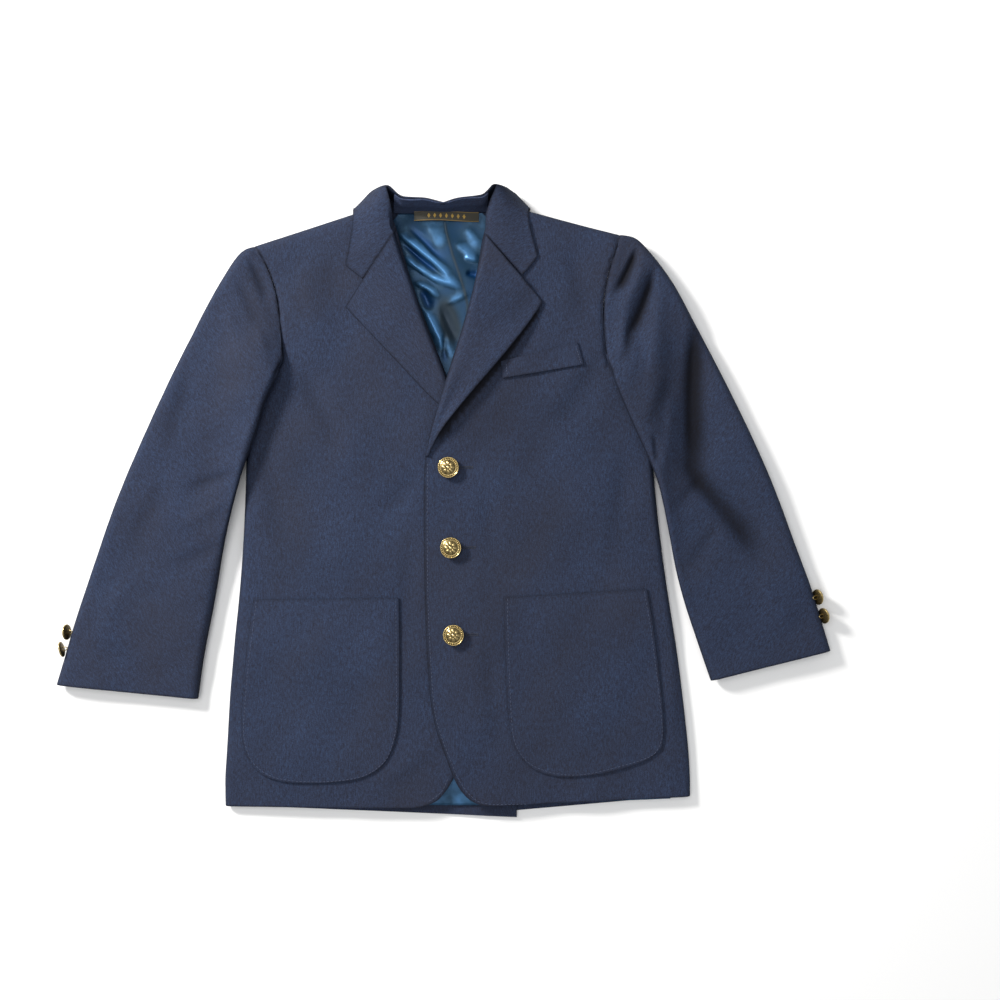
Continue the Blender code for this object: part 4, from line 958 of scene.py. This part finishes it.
# Stitched lines in millimetres on the plan
RIGHT_POCKET_LINE = ((-177.3, -93.0), (-181.3, -125.0), (-185.6, -160.0), (-189.4, -208.5),
                     (-187.3, -231.4), (-177.9, -249.9), (-156.4, -261.7), (-117.0, -264.8),
                     (-78.2, -259.8), (-56.2, -245.9), (-47.6, -227.2), (-44.2, -204.0),
                     (-44.2, -150.0), (-44.7, -92.0))
LEFT_POCKET_LINE = ((61.2, -90.0), (61.7, -122.0), (63.4, -173.0), (66.0, -214.9), (71.7, -234.5),
                    (84.9, -249.1), (108.6, -257.1), (134.0, -257.8), (167.5, -250.8), (196.0, -241.7),
                    (205.3, -231.9), (208.4, -216.0), (204.1, -171.0), (197.1, -118.0), (190.9, -83.0))
FRONT_EDGE_LINE = ((-14.3, 38.0), (-14.8, -10.0), (-14.4, -72.0), (-13.0, -122.0), (-8.8, -188.3),
                   (-2.5, -217.7), (7.2, -243.9), (15.1, -262.7), (26.6, -278.2), (41.5, -285.6),
                   (80.0, -286.3))
RIGHT_FRONT_LINE = ((-14.0, -284.0), (-2.0, -275.0), (4.6, -262.0))
WELT_LINES = (((59.8, 131.8), (60.9, 120.6)), ((125.8, 149.0), (130.8, 132.2)))
WELT_PITCH = 2.4
WELT_STITCH = 1.8
STITCHED = ("front_left", "front_right", "pocket_left", "pocket_right", "breast_welt")


def add_topstitching(cloth):
    """Stitch lines round the patch pockets, down the front edges and at the welt's ends."""
    fronts = [tree_of(cloth[node]) for node in STITCHED]
    add_stitches("stitches_pocket_right", [rounded_path(RIGHT_POCKET_LINE)], fronts)
    add_stitches("stitches_pocket_left", [rounded_path(LEFT_POCKET_LINE)], fronts)
    front_edges = [rounded_path(FRONT_EDGE_LINE), rounded_path(RIGHT_FRONT_LINE)]
    add_stitches("stitches_front_edge", front_edges, fronts)
    add_stitches("stitches_welt", WELT_LINES, fronts, WELT_PITCH, WELT_STITCH)


# A buttonhole in millimetres, from its button's middle towards the side, and its whip stitches
BUTTONHOLE_LENGTH = 24.0
BUTTONHOLE_START = -1.5
BUTTONHOLE_HALF = 0.75
WHIP_PITCH = 0.7
WHIP_RADIUS = 0.42
WHIP_SHAPE = (0.75, 1.7, 0.75, 1.0)


def add_buttonhole(name, centre, trees):
    """Stitched slit that runs from under a button towards the side, with close whip stitches round it."""
    work = bmesh.new()
    half = BUTTONHOLE_HALF
    end = BUTTONHOLE_START + BUTTONHOLE_LENGTH
    runs = np.arange(0.0, BUTTONHOLE_LENGTH, WHIP_PITCH)
    outline = [(BUTTONHOLE_START + run, half) for run in runs]
    outline += [(end + half * math.sin(a), half * math.cos(a)) for a in np.linspace(0.2, math.pi - 0.2, 6)]
    outline += [(end - run, -half) for run in runs]
    for dx, dy in outline:
        found = surface_at(trees, centre[0] + dx, centre[1] + dy)
        if found is None:
            continue
        place, normal = found
        matrix = Matrix.Translation(place + normal * 0.05 * MM)
        bmesh.ops.create_icosphere(work, subdivisions=1, radius=WHIP_RADIUS * MM,
                                   matrix=matrix @ Matrix.Diagonal(WHIP_SHAPE))
    return add_piece(name, mesh_of(work, name), "hole")


FRONT_BUTTON_RADIUS = 10.0
CUFF_BUTTON_RADIUS = 7.5
FACE_SEGMENTS = 64
BEADS = 30
BEAD_CIRCLE = 0.845
BEAD_HEIGHT = 0.232
BEAD_RADIUS = 0.062
PETALS = 8
PETAL_FROM = 0.2
PETAL_LENGTH = 0.48
PETAL_HEIGHT = 0.085
Ring = namedtuple("Ring", "share height")
# Turned section of a button: radius and height as shares of its radius, from its back to its face
BUTTON_BACK = (
    Ring(0.30, -0.02), Ring(0.60, 0.00), Ring(0.86, 0.04), Ring(0.955, 0.09),
)
BUTTON_FACE = (
    Ring(0.992, 0.14), Ring(1.0, 0.19), Ring(0.985, 0.245), Ring(0.95, 0.275),
    Ring(0.915, 0.265), Ring(0.885, 0.225), Ring(0.84, 0.215), Ring(0.79, 0.225),
    Ring(0.755, 0.265), Ring(0.725, 0.270), Ring(0.70, 0.25), Ring(0.66, 0.262),
    Ring(0.60, 0.29), Ring(0.53, 0.32), Ring(0.46, 0.345), Ring(0.39, 0.365),
    Ring(0.32, 0.382), Ring(0.26, 0.392), Ring(0.215, 0.385), Ring(0.19, 0.375),
    Ring(0.165, 0.40), Ring(0.12, 0.428), Ring(0.06, 0.44),
)
GROOVES = (0.885, 0.84, 0.70, 0.19)
# Brightness of the brass, from 0 in a groove to 1 on a polished part
GROOVE_LEVEL = 0.1
BACK_LEVEL = 0.32
ROSETTE_LEVEL = 0.35
RIM_LEVEL = 0.9
BEAD_LEVEL = 0.95
SHANK_LEVEL = 0.8

# Way each cuff button faces, turned on its shank, and its shift from its node's middle, in millimetres
CuffSeat = namedtuple("CuffSeat", "axis_x axis_y axis_z shift_x shift_y")
CUFF_SEATS = {
    "cuff_button_left_upper": CuffSeat(0.86, 0.12, -0.48, -3.3, 2.4),
    "cuff_button_left_lower": CuffSeat(0.86, 0.12, -0.48, -2.7, 2.0),
    "cuff_button_right_upper": CuffSeat(-0.97, -0.04, -0.22, 0.0, 0.0),
    "cuff_button_right_lower": CuffSeat(-0.97, -0.22, 0.02, 0.0, 0.0),
}
# The back of a cuff button lies this share of its radius behind its middle
CUFF_BACK = 0.2
FRONT_SEAT = 2.6
# A shank's length under its button, half its width and its wire's radius, in millimetres
CUFF_SHANK = 4.4
FRONT_SHANK = 2.45
SHANK_HALF_WIDTH = 1.7
SHANK_WIRE = 0.42
SHANK_STEPS = 16
SHANK_SIDES = 8


def petal_relief(share, angle):
    """Raised petals of a plain rosette between the middle boss and the inner ring."""
    if not PETAL_FROM < share < PETAL_FROM + PETAL_LENGTH:
        return 0.0
    along_petal = (share - PETAL_FROM) / PETAL_LENGTH
    swell = abs(math.cos(angle * PETALS / 2))
    body = max(0.0, swell - 0.25 - 0.35 * along_petal**3) * math.sin(math.pi * min(1.0, along_petal))
    vein = 0.35 * math.exp(-((math.sin(angle * PETALS / 2) / 0.16) ** 2))
    return body * (1.0 - vein)


def brass_level(share, raised):
    """Brightness of a point on the button's face."""
    if share in GROOVES:
        return GROOVE_LEVEL
    if PETAL_FROM < share < PETAL_FROM + PETAL_LENGTH:
        return min(1.0, ROSETTE_LEVEL + RIM_LEVEL * raised)
    return RIM_LEVEL


def add_disc(work, relief, place, size):
    """The button itself, with its rosette."""
    rings = []
    for row in BUTTON_BACK + BUTTON_FACE:
        ring = []
        for k in range(FACE_SEGMENTS):
            angle = math.tau * k / FACE_SEGMENTS
            raised = 0.0 if row in BUTTON_BACK else petal_relief(row.share, angle)
            height = row.height + PETAL_HEIGHT * raised
            spot = Vector((row.share * math.cos(angle), row.share * math.sin(angle), height))
            vertex = work.verts.new(place @ (spot * size))
            vertex[relief] = BACK_LEVEL if row in BUTTON_BACK else brass_level(row.share, raised)
            ring.append(vertex)
        rings.append(ring)
    skin(work, rings)


def add_beads(work, relief, place, size):
    """Ring of small beads inside the rolled rim."""
    for k in range(BEADS):
        angle = math.tau * k / BEADS
        spot = Vector((BEAD_CIRCLE * math.cos(angle), BEAD_CIRCLE * math.sin(angle), BEAD_HEIGHT)) * size
        made = bmesh.ops.create_icosphere(work, subdivisions=2, radius=BEAD_RADIUS * size,
                                          matrix=Matrix.Translation(place @ spot))
        for vertex in made["verts"]:
            vertex[relief] = BEAD_LEVEL


def add_shank(work, relief, place, length):
    """Half ring of wire under the back, with its foot in the cloth."""
    wire = []
    for i in range(SHANK_STEPS + 1):
        swing = math.pi * i / SHANK_STEPS
        middle = Vector((SHANK_HALF_WIDTH * math.cos(swing), 0.0, 0.1 - length * math.sin(swing) ** 0.8))
        out = Vector((math.cos(swing), 0.0, -math.sin(swing)))
        ring = []
        for k in range(SHANK_SIDES):
            angle = math.tau * k / SHANK_SIDES
            offset = out * math.cos(angle) + Vector((0.0, math.sin(angle), 0.0))
            vertex = work.verts.new(place @ ((middle + offset * SHANK_WIRE) * MM))
            vertex[relief] = SHANK_LEVEL
            ring.append(vertex)
        wire.append(ring)
    skin(work, wire)


def button_seat(node, size):
    """Place and facing of a button, and its shank's length."""
    low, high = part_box(node)
    centre = (low + high) * 0.5
    if node not in CUFF_SEATS:
        return Vector((centre.x, centre.y, low.z + FRONT_SEAT * MM)), Vector((0, 0, 1)), FRONT_SHANK
    hang = CUFF_SEATS[node]
    axis = Vector((hang.axis_x, hang.axis_y, hang.axis_z)).normalized()
    shift = Vector((hang.shift_x, hang.shift_y, 0.0)) * MM
    return centre + shift - axis * CUFF_BACK * size, axis, CUFF_SHANK


def add_button(name, node, radius):
    """Domed gilt button with a rolled rim, a ring of beads and a plain rosette, on a wire shank."""
    size = radius * MM
    seat, axis, shank = button_seat(node, size)
    place = Matrix.Translation(seat) @ axis.to_track_quat("Z", "Y").to_matrix().to_4x4()
    work = bmesh.new()
    relief = work.verts.layers.float.new("relief")
    add_disc(work, relief, place, size)
    add_beads(work, relief, place, size)
    add_shank(work, relief, place, shank)
    bmesh.ops.recalc_face_normals(work, faces=work.faces)
    return add_piece(name, mesh_of(work, name), "brass", [node])


def add_fastenings(cloth):
    """Front buttons with their buttonholes, and the cuffs' buttons."""
    fronts = [tree_of(cloth["front_left"])]
    for place in ("top", "middle", "bottom"):
        node = "front_button_" + place
        low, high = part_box(node)
        middle = (low + high) * 0.5 / MM
        add_button("button_front_" + place, node, FRONT_BUTTON_RADIUS)
        add_buttonhole("buttonhole_" + place, (middle.x, middle.y), fronts)
    for side in ("right", "left"):
        for place in ("upper", "lower"):
            add_button(f"button_cuff_{side}_{place}", f"cuff_button_{side}_{place}", CUFF_BUTTON_RADIUS)


FLOOR_SIZE = 3.0
FLOOR_BELOW = 0.0004
FLOOR_COLOUR = (0.93, 0.93, 0.93, 1.0)
# Soft lights, with their places and sizes in metres, powers in watts and colours
Lamp = namedtuple("Lamp", "name place size power colour")
LAMPS = (
    Lamp("key", (-1.25, 0.95, 0.95), 0.42, 48.0, (1.0, 0.98, 0.95)),
    Lamp("fill", (1.1, -0.8, 1.5), 1.4, 3.0, (0.85, 0.93, 1.0)),
    Lamp("top", (-0.4, 0.2, 2.2), 1.6, 18.0, (1.0, 1.0, 1.0)),
)
ROOM_LIGHT = 0.42
NEAREST_VIEW = 0.05


def add_floor():
    """Plain pale floor just under the garment."""
    work = bmesh.new()
    bmesh.ops.create_grid(work, x_segments=1, y_segments=1, size=FLOOR_SIZE)
    mesh = mesh_of(work, "floor")
    floor = bpy.data.objects.new("floor", mesh)
    floor.location = (0, 0, -FLOOR_BELOW)
    bpy.context.scene.collection.objects.link(floor)
    material, tree, shader = new_material("pale_floor")
    shader.inputs["Base Color"].default_value = FLOOR_COLOUR
    shader.inputs["Roughness"].default_value = 0.9
    mesh.materials.append(material)


def add_lights():
    """Soft key light from the photo's upper left, with a weak fill, a top light and a white room."""
    scene = bpy.context.scene
    for row in LAMPS:
        light = bpy.data.lights.new(row.name, "AREA")
        light.shape = "DISK"
        light.size = row.size
        light.energy = row.power
        light.color = row.colour
        lamp = bpy.data.objects.new(row.name, light)
        lamp.location = row.place
        lamp.rotation_euler = (-Vector(row.place)).to_track_quat("-Z", "Y").to_euler()
        scene.collection.objects.link(lamp)
    world = bpy.data.worlds.new("studio")
    world.use_nodes = True
    background = world.node_tree.nodes["Background"]
    background.inputs["Color"].default_value = (1.0, 1.0, 1.0, 1.0)
    background.inputs["Strength"].default_value = ROOM_LIGHT
    scene.world = world
    scene.view_settings.view_transform = "Standard"


def add_camera():
    """Looks straight down, as the photo does."""
    camera = bpy.data.cameras.new("camera")
    camera.sensor_width = SENSOR
    camera.lens = SENSOR * CAMERA_HEIGHT / FLOOR_WIDTH_IN_VIEW
    camera.clip_start = NEAREST_VIEW
    holder = bpy.data.objects.new("camera", camera)
    holder.location = (PHOTO_CENTRE[0] * MM, PHOTO_CENTRE[1] * MM, CAMERA_HEIGHT * MM)
    bpy.context.scene.collection.objects.link(holder)
    bpy.context.scene.camera = holder


add_floor()
add_lights()
add_camera()
cloth = add_cloth()
lining = add_lining()
label = add_label()
add_topstitching(cloth)
add_fastenings(cloth)
